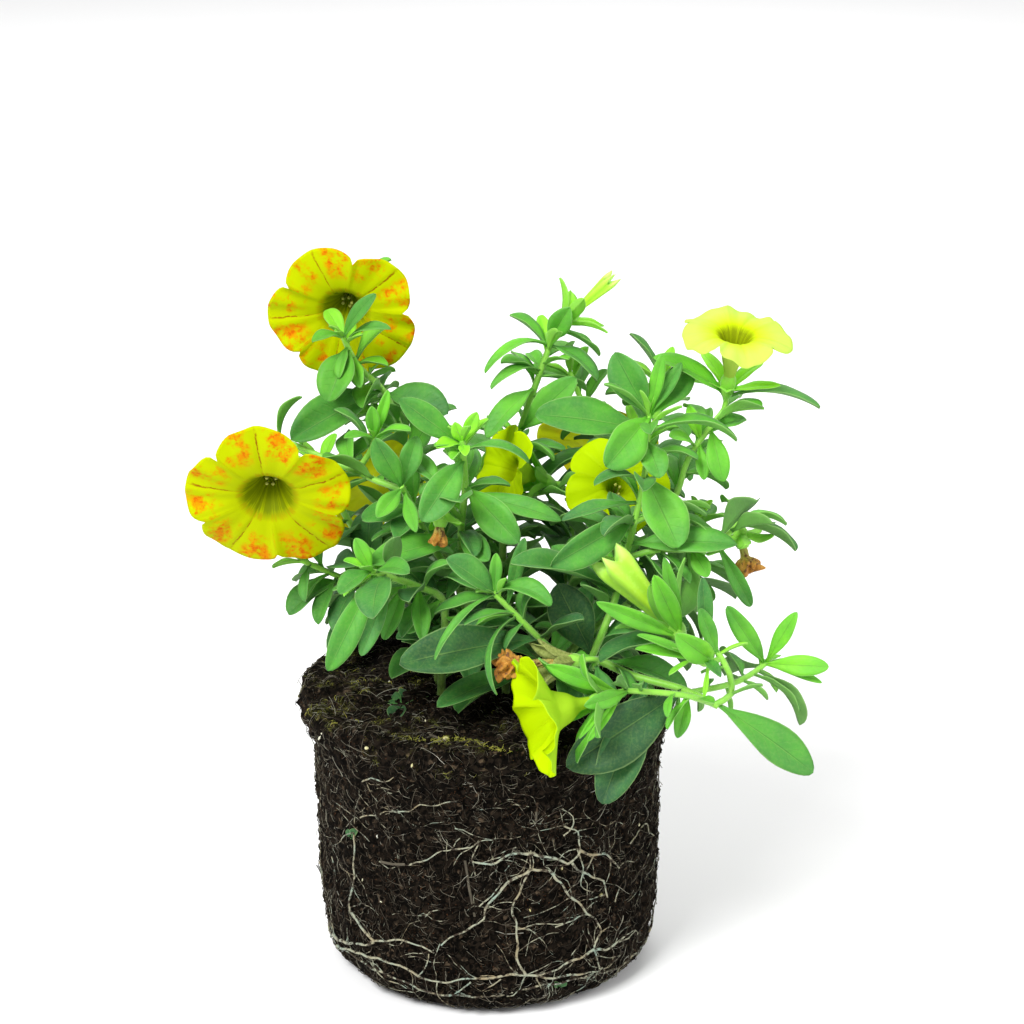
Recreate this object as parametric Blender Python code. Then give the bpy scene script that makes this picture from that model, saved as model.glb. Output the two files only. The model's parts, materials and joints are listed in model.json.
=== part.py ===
"""A calibrachoa in bloom, lifted out of its nursery pot.

The bare ball of peat and roots stands on its flat foot. Leafy stems rise from holes in its top, and each
bloom, bud and withered bloom is a piece of its own, seated in the calyx at the end of its stalk.
Lengths here are millimetres until a mesh is made. +X is right, +Y is away from the viewer, +Z is up, and
the origin is the middle of the ball's flat foot.
"""
import math
import random

import bpy
from mathutils import Matrix, Vector
from mathutils.bvhtree import BVHTree
from mathutils.kdtree import KDTree

MM = 0.001

# Joins
LEAST_EDGE = 0.0004  # between any two corners of a join
HAIR = 0.02  # how far a body is shifted where a join leaves them closer
JOIN_TRIES = 40

# The ball of peat and roots
BALL_HEIGHT = 75.0
BALL_SIDES = 28
BALL_SHIFT = 1.0  # the lower part leans to the right by this much
BALL_PROFILE = (  # height and radius, from the flat foot up to the brim
    (0.0, 33.5),
    (1.8, 37.8),
    (5.5, 40.5),
    (14.0, 41.9),
    (36.0, 42.2),
    (59.0, 43.1),
    (65.5, 45.3),
    (70.0, 46.4),
    (73.0, 45.0),
)
TOP_RINGS = (37.0, 22.0)
HOLE_DEPTH = 8.0
HOLE_SIDES = 6
HOLE_CUT = 14.0  # up from a hole's floor, past the top of the peat
CLEARANCE = 0.35  # between a stem and its hole, and between pieces that touch

# Roots that lie on the ball
ROOT_OUT = 1.3  # from the ball's side to a root's axis
ROOT_RING = (0.62, 0.62)  # radii at the start and the end: of the ring round the foot
ROOT_SHOWN = (0.6, 0.45)  # of the branches on the side that shows
ROOT_REAR = (0.6, 0.42)  # of the branches behind
ROOT_FORK = (0.5, 0.4)
ROOT_LOWEST = 6.2  # where the ball's side begins to turn under
ROOT_BEND = 42.0  # the ball's radius, for lengths along its side
ROOT_SIDES = 4
ROOT_STEP = 11.0

# Leaves, sepals and stems
BLADE_THICK = 0.95
STEM_RADIUS = 1.15  # in its hole
SHOOT_RADIUS = 0.8
STEM_SIDES = 5
STEM_STEP = 16.0  # between the rings of a stem
BLADE_SUNK = 0.35  # a blade starts this far from its stem's axis
BLADE_FOOT = 0.3  # half its width there
BLADE_KEEP = 0.4  # air kept round a blade
BLADE_OUTER = 0.35  # the part of a blade from its stem that may cross blades of the same stem
BLADE_DIP = 3.0  # how near its foot a blade may dip into the peat
LOWEST_LEAF = 46.0

LEAF_SPREAD = 62.0  # degrees off its stem
SEPALS = 5
SEPAL_WIDE = 2.1
SEPAL_SEAT = (-0.4, 1.25)  # where a sepal starts: along the bloom's axis from its foot, and out
CUP_RINGS = ((-2.6, 0.95, 0.0), (-1.3, 1.8, 0.0), (0.0, 1.6, 0.5))  # along, radius and turn in sepals
STALK_ENDS = (6.0, 1.8)  # the stalk's last two points, below the bloom's foot

# Corollas
PETAL_WALL = 0.65
LOBE_START = 0.3  # of the radius, where the lobes begin
LOBE_NOTCH = 0.17  # of the radius, how deep the notches are
LOBE_BROAD = 1.25
LOBE_RISE = 1.4  # how far a notch stands before its lobe's middle
PLEAT = 0.16
PETAL_SAMPLES = 15  # three to a lobe, the first in the notch
BUD_SAMPLES = 10  # two to a lobe
SPENT_SAMPLES = 8

# Where the eye stands: what shows is placed by where it is seen, across and down in the 1024 picture, with
# its depth behind (+) or before (-) the ball's axis
EYE_TILT = math.radians(20.0)
EYE_DISTANCE = 800.0
EYE_FOCUS = 3200.0
PICTURE_MIDDLE = 512.0
BALL_TOP_SEEN = (486.0, 674.0)

RIGHT = Vector((1.0, 0.0, 0.0))
LOOK = Vector((0.0, math.cos(EYE_TILT), -math.sin(EYE_TILT)))
OVER = Vector((0.0, math.sin(EYE_TILT), math.cos(EYE_TILT)))
PIXEL = EYE_DISTANCE / EYE_FOCUS
EYE = (
    Vector((0.0, 0.0, BALL_HEIGHT))
    - RIGHT * (BALL_TOP_SEEN[0] - PICTURE_MIDDLE) * PIXEL
    + OVER * (BALL_TOP_SEEN[1] - PICTURE_MIDDLE) * PIXEL
    - LOOK * EYE_DISTANCE
)

# Which way a leaf's upper side looks
SKY = Vector((0.0, -0.25, 0.97))
HALF = Vector((0.0, -0.65, 0.76))
FRONT = Vector((0.0, -0.94, 0.34))


def seen(across, down, depth):
    """The point at that depth which shows at that place of the picture."""
    ray = LOOK + RIGHT * (across - PICTURE_MIDDLE) / EYE_FOCUS - OVER * (down - PICTURE_MIDDLE) / EYE_FOCUS
    return EYE + ray * ((depth - EYE.y) / ray.y)


def spots(*corners):
    """Points from their X, Y and Z."""
    return [Vector(corner) for corner in corners]


def ball_radius(angle, height):
    """The ball's radius at an angle round it and a height."""
    for (low, narrow), (high, wide) in zip(BALL_PROFILE, BALL_PROFILE[1:]):
        if height <= high:
            radius = narrow + (wide - narrow) * (height - low) / (high - low)
            break
    else:
        radius = BALL_PROFILE[-1][1]
    return radius * (1.0 + 0.008 * math.sin(2.0 * angle + 1.0) + 0.006 * math.sin(3.0 * angle))


def ball_point(angle, height, out=0.0):
    """A point on the ball's side, or out from it."""
    radius = ball_radius(angle, height) + out
    shift = BALL_SHIFT * max(0.0, 1.0 - height / BALL_HEIGHT)
    return Vector((shift + radius * math.cos(angle), radius * math.sin(angle), height))


def top_height(x, y):
    """The uneven top of the peat, which sinks a little towards the middle."""
    return 73.2 + 0.7 * math.sin(x / 6.0 + 1.0) * math.cos(y / 7.0) + 0.4 * math.sin((x + 2.0 * y) / 9.0)


def loft(rings, flipped=lambda band, side: False):
    """A closed body through rings of points. A ring of one point is a pointed end."""
    points = []
    starts = []
    for ring in rings:
        starts.append(len(points))
        points.extend(ring)
    faces = []
    for band, (first, second) in enumerate(zip(rings, rings[1:])):
        a, b = starts[band], starts[band + 1]
        count = max(len(first), len(second))
        for i in range(count):
            j = (i + 1) % count
            if len(second) == 1:
                faces.append((a + i, a + j, b))
            elif len(first) == 1:
                faces.append((a, b + j, b + i))
            elif flipped(band, i):
                faces.append((a + i, a + j, b + i))
                faces.append((a + j, b + j, b + i))
            else:
                faces.append((a + i, a + j, b + j))
                faces.append((a + i, b + j, b + i))
    if len(rings[0]) > 1:
        faces.append(tuple(reversed(range(len(rings[0])))))
    if len(rings[-1]) > 1:
        faces.append(tuple(starts[-1] + i for i in range(len(rings[-1]))))
    return outward(points, faces)


def outward(points, faces):
    """The same closed body, with its faces turned to look outward."""
    volume = 0.0
    for face in faces:
        for one, two in zip(face[1:], face[2:]):
            volume += points[face[0]].dot(points[one].cross(points[two]))
    if volume < 0.0:
        faces = [tuple(reversed(face)) for face in faces]
    return points, faces


def smooth(points, step=STEM_STEP):
    """Points a step apart on one smooth curve through the given points."""
    padded = [points[0] * 2.0 - points[1], *points, points[-1] * 2.0 - points[-2]]
    curve = [points[0]]
    for before, start, end, after in zip(padded, padded[1:], padded[2:], padded[3:]):
        count = max(1, round((end - start).length / step))
        out, into = (end - before) / 2.0, (after - start) / 2.0
        for i in range(1, count + 1):
            t = i / count
            curve.append(
                start * (2 * t**3 - 3 * t**2 + 1)
                + out * (t**3 - 2 * t**2 + t)
                + end * (3 * t**2 - 2 * t**3)
                + into * (t**3 - t**2)
            )
    return curve


def directions(route):
    """The way a route runs at each of its points."""
    ends = zip([route[0], *route[:-1]], [*route[1:], route[-1]])
    return [(after - before).normalized() for before, after in ends]


def tube(route, radii, sides):
    """A round body along a route, with a radius at each point."""
    ways = directions(route)
    across = ways[0].orthogonal().normalized()
    rings = []
    for point, way, radius in zip(route, ways, radii):
        across = (across - way * across.dot(way)).normalized()
        other = way.cross(across)
        turns = [2.0 * math.pi * k / sides for k in range(sides)]
        rings.append([point + (across * math.cos(a) + other * math.sin(a)) * radius for a in turns])
    return loft(rings)


class Blade:
    """A leaf or a sepal. It leaves its stem at root, and bends by droop from there to its tip."""

    def __init__(self, root, forward, up, long, wide, droop, axis, fold=0.16, sepal=False):
        self.root = root
        self.forward = forward.normalized()
        self.side = self.forward.cross(up).normalized()
        self.up = self.side.cross(self.forward)
        self.long = long
        self.wide = wide
        self.droop = droop
        self.axis = axis
        self.fold = fold
        self.sepal = sepal

    def spot(self, t):
        """A point of the midrib, the way it runs there and the upper side's normal."""
        turn = self.droop * t
        ahead = math.sin(turn) / self.droop
        down = (1.0 - math.cos(turn)) / self.droop
        point = self.root + (self.forward * ahead - self.up * down) * self.long
        way = self.forward * math.cos(turn) - self.up * math.sin(turn)
        return point, way, self.up * math.cos(turn) + self.forward * math.sin(turn)

    def half(self, t):
        """Half the blade's width at t: a narrow foot, widest past the middle, a round tip."""
        if self.sepal:
            return 0.5 * self.wide * max(0.62, math.sin(math.pi * t**1.3) ** 0.5)
        return 0.5 * self.wide * max(0.16, math.sin(math.pi * t**1.2) ** 0.8)

    def rings(self, air=0.0, start=0.0):
        """Rings from start to the tip: the left edge, the right edge and the keel of the midrib below."""
        start = max(start, BLADE_SUNK / self.long)
        if self.long > 17.0 and not self.sepal:
            cuts = (0.0, 0.28, 0.56, 0.84)
        elif self.long > 9.0 and not self.sepal:
            cuts = (0.0, 0.34, 0.74)
        else:
            cuts = (0.0, 0.55)
        rings = []
        for cut in cuts:
            t = start + (1.0 - start) * cut
            point, _, up = self.spot(t)
            half, above, below = max(self.half(t), 0.45), BLADE_THICK * 0.2, BLADE_THICK * 0.5
            if cut == 0.0:
                half, above, below = BLADE_FOOT, BLADE_FOOT * 0.3, BLADE_FOOT
            edge = self.side * (math.cos(self.fold) * half + air)
            rise = up * (math.sin(self.fold) * half + above + air)
            rings.append([point - edge + rise, point + edge + rise, point - up * (below + air)])
        tip, way, _ = self.spot(1.0)
        return [*rings, [tip + way * air]]

    def body(self, air=0.0, start=0.0):
        """The solid blade, or one grown by air on all sides, from start to the tip."""
        return loft(self.rings(air, start), lambda band, side: side == 2)

    def moved(self, turn, lift, scale):
        """The same blade turned about its stem, lifted and made smaller."""
        about = Matrix.Rotation(turn, 3, self.axis)
        raised = Matrix.Rotation(lift, 3, about @ self.side)
        forward = raised @ (about @ self.forward)
        up = raised @ (about @ self.up)
        long, wide = self.long * scale, self.wide * scale
        return Blade(self.root, forward, up, long, wide, self.droop, self.axis, self.fold, self.sepal)


class Bloom:
    """A corolla, a bud or a withered corolla: where its foot sits, and the way it faces."""

    def __init__(self, name, centre, axis, radius, tube_long, roll=0.0, kind="open"):
        self.name = name
        self.axis = axis.normalized()
        self.foot = centre - self.axis * tube_long
        self.radius = radius
        self.tube_long = tube_long
        self.kind = kind
        side = Vector((0.0, 0.0, 1.0)).cross(self.axis)
        side = side if side.length > 0.3 else Vector((1.0, 0.0, 0.0))
        side = (side - self.axis * side.dot(self.axis)).normalized()
        self.across = Matrix.Rotation(roll, 3, self.axis) @ side
        self.other = self.axis.cross(self.across)

    def ring(self, along, radius, samples, shape):
        """A ring round the axis. shape gives the radius's factor and the rise at each angle."""
        points = []
        for k in range(samples):
            angle = 2.0 * math.pi * k / samples
            factor, rise = shape(angle, k)
            out = self.across * math.cos(angle) + self.other * math.sin(angle)
            points.append(self.foot + self.axis * (along + rise) + out * radius * factor)
        return points

    def body(self):
        """The solid of this bloom."""
        return {"open": self.open_body, "bud": self.bud_body, "spent": self.spent_body}[self.kind]()

    def open_body(self):
        """A funnel: a slim tube that opens into five joined lobes, notched between them."""
        reach, size = self.tube_long, self.radius
        outer = [(CLEARANCE, 1.0), (reach * 0.68, 2.0), (reach * 0.97, size * 0.34), (reach * 1.02, size)]
        inner = []
        for i, (along, radius) in enumerate(outer):
            before, after = outer[max(i - 1, 0)], outer[min(i + 1, len(outer) - 1)]
            run, rise = after[0] - before[0], after[1] - before[1]
            span = math.hypot(run, rise)
            inner.append((along + PETAL_WALL * rise / span, max(0.35, radius - PETAL_WALL * run / span)))
        inner[0] = (1.4, 0.35)
        rings = []
        for along, radius in outer + inner[::-1]:
            lobed = max(0.0, min(1.0, (radius / size - LOBE_START) / (1.0 - LOBE_START)))

            def shape(angle, k, lobed=lobed):
                petal = min(1.0, LOBE_BROAD * abs(math.sin(2.5 * angle)))
                return 1.0 - LOBE_NOTCH * lobed * (1.0 - petal), (0.5 - petal) * LOBE_RISE * lobed

            rings.append(self.ring(along, radius, PETAL_SAMPLES, shape))
        return loft(rings, lambda band, side: band >= len(outer))

    def bud_body(self):
        """A closed corolla: pleated, widest near its half-open end."""
        long, wide = self.tube_long, self.radius
        stations = ((CLEARANCE, 0.2, 0), (long * 0.3, 0.5, 1), (long * 0.6, 0.8, 1), (long * 0.82, 1.0, 1))
        rings = []
        for along, part, pleat in stations:

            def shape(angle, k, pleat=pleat):
                return 1.0 - PLEAT * pleat * (k % 2), 0.0

            rings.append(self.ring(along, wide * part, BUD_SAMPLES, shape))

        def lips(angle, k):
            return 1.0 - 0.4 * (k % 2), -2.4 * (k % 2)

        rings.append(self.ring(long, wide * 0.78, BUD_SAMPLES, lips))
        rings.append([self.foot + self.axis * long * 0.84])
        return loft(rings)

    def spent_body(self):
        """A withered corolla: a shrunken tube with a crumpled head."""
        draw = random.Random(self.name)
        long, wide = self.tube_long, self.radius
        stations = ((CLEARANCE, 0.8, 0.1), (long * 0.35, 0.9, 0.1), (long * 0.6, 1.2, 0.2))
        head = ((long * 0.72, wide * 0.8, 0.3), (long * 0.86, wide, 0.35), (long, wide * 0.7, 0.35))
        rings = []
        for along, radius, rough in stations + head:

            def shape(angle, k, rough=rough):
                return 1.0 - draw.uniform(0.0, rough), draw.uniform(-rough, rough)

            rings.append(self.ring(along, radius, SPENT_SAMPLES, shape))
        rings.append([self.foot + self.axis * long * 0.93])
        return loft(rings)


class Stem:
    """A leafy stem with its side shoots, leaves, stalks and calyces, all one piece."""

    def __init__(self, name, foot, colour):
        self.name = name
        self.foot = foot
        self.colour = colour
        self.shoots = []
        self.tubes = []
        self.calyces = []
        self.set_blades = []
        self.free_blades = []
        self.draw = random.Random(name)

    def main(self, points, thick=1.1, thin=0.8):
        """The stem that stands in its hole: straight up out of the peat, then along its way."""
        x, y = self.foot
        surface = top_height(x, y)
        floor = Vector((x, y, surface - HOLE_DEPTH + CLEARANCE))
        mouth = Vector((x, y, surface + 3.0))
        return self.add([floor, *smooth([mouth, *points])], thick, thin, STEM_SIDES)

    def shoot(self, points, thick=SHOOT_RADIUS):
        """A side shoot or stalk, which starts on the nearest stem."""
        route = smooth([self.near(points[0])[0], *points[1:]])
        return self.add(route, thick, SHOOT_RADIUS, STEM_SIDES - 1)

    def add(self, route, thick, thin, sides):
        steps = len(route) - 1
        radii = [thick + (thin - thick) * i / steps for i in range(len(route))]
        self.shoots.append(route)
        self.tubes.append(tube(route, radii, sides))
        return route

    def near(self, point):
        """The nearest point of this stem's shoots, and the way the shoot runs there."""
        best = None
        for route in self.shoots:
            for start, end in zip(route, route[1:]):
                span = end - start
                last = 1.0 - SHOOT_RADIUS / span.length if end is route[-1] else 1.0
                t = max(0.0, min(last, (point - start).dot(span) / span.length_squared))
                spot = start + span * t
                gap = (point - spot).length
                if best is None or gap < best[0]:
                    best = (gap, spot, span.normalized())
        return best[1], best[2]

    def leaf(self, root, tip, wide, bend=25.0, face=HALF, fold=0.16):
        """A leaf that is seen from its root to its tip."""
        root, axis = self.near(seen(*root))
        chord = seen(*tip) - root
        half = math.radians(bend) / 2.0
        side = chord.cross(face).normalized()
        up = side.cross(chord).normalized()
        forward = chord.normalized() * math.cos(half) + up * math.sin(half)
        up = side.cross(forward)
        long = chord.length * half / math.sin(half)
        self.set_blades.append(Blade(root, forward, up, long, wide, 2.0 * half, axis, fold))

    def calyx(self, bloom, long=13.0, spread=28.0, roll=0.3):
        """The green cup at the bloom's foot and the slender sepals round its brim."""
        sepals = []
        for k in range(SEPALS):
            angle = 2.0 * math.pi * k / SEPALS + roll
            out = bloom.across * math.cos(angle) + bloom.other * math.sin(angle)
            lean = math.radians(spread + self.draw.uniform(-8.0, 12.0))
            forward = bloom.axis * math.cos(lean) + out * math.sin(lean)
            up = bloom.axis * math.sin(lean) - out * math.cos(lean)
            size = long * self.draw.uniform(0.85, 1.15)
            root = bloom.foot + bloom.axis * SEPAL_SEAT[0] + out * SEPAL_SEAT[1]
            droop = math.radians(self.draw.uniform(10.0, 40.0))
            sepals.append(Blade(root, forward, up, size, SEPAL_WIDE, droop, bloom.axis, 0.1, True))
        self.calyces.append((bloom, roll, sepals))

    def stalk(self, bloom, points):
        """The stalk that carries a bloom: it ends under the bloom's foot, in line with it."""
        self.shoot([*points, *(bloom.foot - bloom.axis * below for below in STALK_ENDS)])

    def clothe(self, route, bare=8.0, gap=12.0, long=(22.0, 13.0), wide=0.36, droop=55.0, tuft=4):
        """Leaves in pairs along a route, each pair turned a quarter, and a tuft at its end."""
        draw = self.draw
        ways = directions(route)
        lengths = [0.0]
        for start, end in zip(route, route[1:]):
            lengths.append(lengths[-1] + (end - start).length)
        total = lengths[-1]
        along = bare
        turn = draw.uniform(0.0, math.pi)
        while along < total - 3.0:
            i = max(k for k, reached in enumerate(lengths) if reached <= along)
            t = (along - lengths[i]) / (lengths[i + 1] - lengths[i])
            point = route[i].lerp(route[i + 1], t)
            way = ways[i].lerp(ways[i + 1], t).normalized()
            part = (along - bare) / max(total - bare, 1.0)
            for twin in (0.0, math.pi):
                size = (long[0] + (long[1] - long[0]) * part) * draw.uniform(0.8, 1.12)
                self.sprout(point, way, turn + twin + draw.uniform(-0.3, 0.3), size, wide, LEAF_SPREAD, droop)
            turn += math.pi / 2.0 + draw.uniform(-0.25, 0.25)
            along += gap * draw.uniform(0.85, 1.2)
        for k in range(tuft):
            size = long[1] * (0.95 if k < tuft // 2 else 0.7) * draw.uniform(0.85, 1.1)
            lean = (46.0 if k < tuft // 2 else 20.0) + draw.uniform(-6.0, 6.0)
            down = 0.6 + 0.9 * (tuft - 1 - k)
            self.sprout(route[-1] - ways[-1] * down, ways[-1], turn + k * 2.4, size, wide * 0.85, lean, 25.0)

    def sprout(self, point, way, turn, long, wide, spread, droop):
        """One leaf off a shoot, its upper side to the sky and the shoot's tip."""
        side = way.cross(Vector((0.0, 0.0, 1.0)))
        side = side.normalized() if side.length > 0.2 else way.orthogonal().normalized()
        out = side * math.cos(turn) + way.cross(side) * math.sin(turn)
        lean = math.radians(spread + self.draw.uniform(-10.0, 10.0))
        forward = way * math.cos(lean) + out * math.sin(lean)
        up = Vector((0.0, 0.0, 0.75)) + way * 0.45
        bend = math.radians(droop * self.draw.uniform(0.5, 1.3))
        self.free_blades.append(Blade(point, forward, up, long, long * wide, bend, way))


def calyx_body(bloom, roll, sepals):
    """The cup, closed above and below, with each sepal drawn out of its brim."""

    def around(along, radius, offset):
        points = []
        for k in range(SEPALS):
            angle = 2.0 * math.pi * (k + offset) / SEPALS + roll
            out = bloom.across * math.cos(angle) + bloom.other * math.sin(angle)
            points.append(bloom.foot + bloom.axis * along + out * radius)
        return points

    count = SEPALS
    points = [point for ring in CUP_RINGS for point in around(*ring)]
    faces = [tuple(reversed(range(count))), tuple(range(2 * count, 3 * count))]
    for k, sepal in enumerate(sepals):
        follow, before = (k + 1) % count, (k - 1) % count
        low, keel, left, right = k, count + k, 2 * count + before, 2 * count + k
        faces += [(low, right, keel), (low, follow, right), (follow, count + follow, right)]
        start = len(points)
        cut, tip = sepal.rings()[1:]
        points += [cut[1], cut[0], cut[2], *tip]
        ring, far = (left, right, keel), (start, start + 1, start + 2)
        for i, j in ((0, 1), (1, 2), (2, 0)):
            faces += [(ring[i], far[j], ring[j]), (ring[i], far[i], far[j]), (far[i], start + 3, far[j])]
    return outward(points, faces)


def body_box(points):
    """The lowest and highest corners round some points."""
    low = Vector([min(point[i] for point in points) for i in range(3)])
    high = Vector([max(point[i] for point in points) for i in range(3)])
    return low, high


class Crowd:
    """Every body placed so far, and who owns it, to keep new blades clear of them."""

    def __init__(self):
        self.bodies = []

    def add(self, owner, body, inner=None):
        """inner is the part of a blade past its root, which its own stem's blades keep clear of."""
        trees = [BVHTree.FromPolygons(*solid) for solid in (body, inner or body)]
        self.bodies.append((owner, *body_box(body[0]), *trees))

    def clear(self, owner, blade, own_too):
        whole = blade.body(BLADE_KEEP)
        low, high = body_box(whole[0])
        if min(point.z for point in whole[0]) < LOWEST_LEAF:
            return False
        for point in whole[0]:
            over = math.hypot(point.x, point.y) < BALL_PROFILE[-1][1]
            if over and point.z < top_height(point.x, point.y) + BLADE_KEEP:
                if (point - blade.root).length > BLADE_DIP:
                    return False
        tree = BVHTree.FromPolygons(*whole)
        outer = BVHTree.FromPolygons(*blade.body(BLADE_KEEP * 0.4, BLADE_OUTER))
        for other, least, most, everything, inner in self.bodies:
            if any(least[i] > high[i] or most[i] < low[i] for i in range(3)):
                continue
            if other != owner and everything.overlap(tree):
                return False
            if other == owner and own_too and inner.overlap(outer):
                return False
        return True


# Degrees of turn and lift, and scale, tried in this order until a blade is clear
SET_TRIES = (
    *((0, 0, 1), (0, 7, 1), (0, -7, 1), (8, 0, 1), (-8, 0, 1), (8, 10, 1), (-8, 10, 1), (0, 16, 1)),
    *((15, 5, 0.95), (-15, 5, 0.95), (0, 25, 0.9), (20, 15, 0.9), (-20, 15, 0.9)),
    *((0, 35, 0.85), (30, 20, 0.8), (-30, 20, 0.8)),
)
FREE_TRIES = (
    *((0, 0, 1), (12, 0, 1), (-12, 0, 1), (0, 12, 1), (0, -12, 1), (25, 8, 1), (-25, 8, 1), (0, 25, 0.9)),
    *((40, 0, 0.85), (-40, 0, 0.85), (55, 15, 0.8), (-55, 15, 0.8), (0, 40, 0.7), (20, 30, 0.65)),
)


def settle(crowd, stem, blade, tries, may_cross):
    """The blade at the first place where it is clear, or None."""
    for own_too in (True, False) if may_cross else (True,):
        for turn, lift, scale in tries:
            moved = blade.moved(math.radians(turn), math.radians(lift), scale)
            if crowd.clear(stem.name, moved, own_too):
                crowd.add(stem.name, moved.body(), moved.body(0.0, BLADE_OUTER))
                return moved
    return None


def build_layout():
    """Every stem with its leaves, and every bloom."""
    blooms = [
        Bloom("bloom_front", seen(532, 722, -54), Vector((-0.88, -0.45, -0.12)), 15.8, 19.0, 0.3),
        Bloom("bloom_right", seen(736, 333, -6), Vector((0.10, -0.20, 0.97)), 13.4, 15.0, 0.5),
        Bloom("bloom_left", seen(267, 494, -14), Vector((-0.05, -0.96, -0.26)), 20.5, 18.0, 0.0),
        Bloom("bloom_back_left", seen(343, 316, 22), Vector((-0.10, -0.97, -0.20)), 18.5, 17.0, 0.1),
        Bloom("bloom_back_middle", seen(500, 466, 12), Vector((-0.80, -0.42, 0.42)), 11.5, 14.0, 0.2),
        Bloom("bloom_back_right", seen(618, 482, 6), Vector((0.10, -0.72, 0.66)), 13.0, 14.0, 0.4),
        Bloom("bloom_rear_left", Vector((-30.0, 54.0, 108.0)), Vector((-0.45, 0.80, 0.36)), 17.0, 17.0, 0.3),
        Bloom("bloom_rear_right", Vector((30.0, 58.0, 116.0)), Vector((0.25, 0.80, 0.50)), 16.5, 17.0, 0.7),
        Bloom("bud_front", seen(604, 551, -26), Vector((-0.66, 0.10, 0.74)), 5.0, 26.0, 0.0, "bud"),
        Bloom("bud_back", seen(617, 275, 26), Vector((0.74, 0.0, 0.68)), 2.0, 17.0, 0.0, "bud"),
        Bloom("spent_front", seen(497, 667, -35), Vector((-0.98, -0.2, 0.0)), 2.9, 18.5, 0.0, "spent"),
        Bloom("spent_left", seen(438, 544, -16), Vector((-0.1, -0.35, -0.93)), 2.4, 7.5, 0.0, "spent"),
        Bloom("spent_right", seen(748, 572, -10), Vector((0.2, -0.2, -0.95)), 2.8, 9.5, 0.0, "spent"),
    ]
    by_name = {bloom.name: bloom for bloom in blooms}
    stems = [
        front_stem(by_name),
        centre_left_stem(by_name),
        left_low_stem(),
        left_flower_stem(by_name),
        back_centre_stem(by_name),
        back_left_stem(by_name),
        back_right_stem(by_name),
        right_low_stem(),
        rear_left_stem(by_name),
        rear_right_stem(by_name),
        rear_centre_stem(),
    ]
    crowd = Crowd()
    for bloom in blooms:
        crowd.add(bloom.name, bloom.body())
    for stem in stems:
        for body in stem.tubes:
            crowd.add(stem.name, body)
    for stem in stems:
        for bloom, roll, sepals in stem.calyces:
            placed = [settle(crowd, stem, sepal, SET_TRIES, True) or sepal for sepal in sepals]
            stem.tubes.append(calyx_body(bloom, roll, placed))
    for stem in stems:
        placed = [settle(crowd, stem, blade, SET_TRIES, True) for blade in stem.set_blades]
        stem.blades = [blade for blade in placed if blade]
    for stem in stems:
        placed = [settle(crowd, stem, blade, FREE_TRIES, False) for blade in stem.free_blades]
        stem.blades += [blade for blade in placed if blade]
    return blooms, stems


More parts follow.
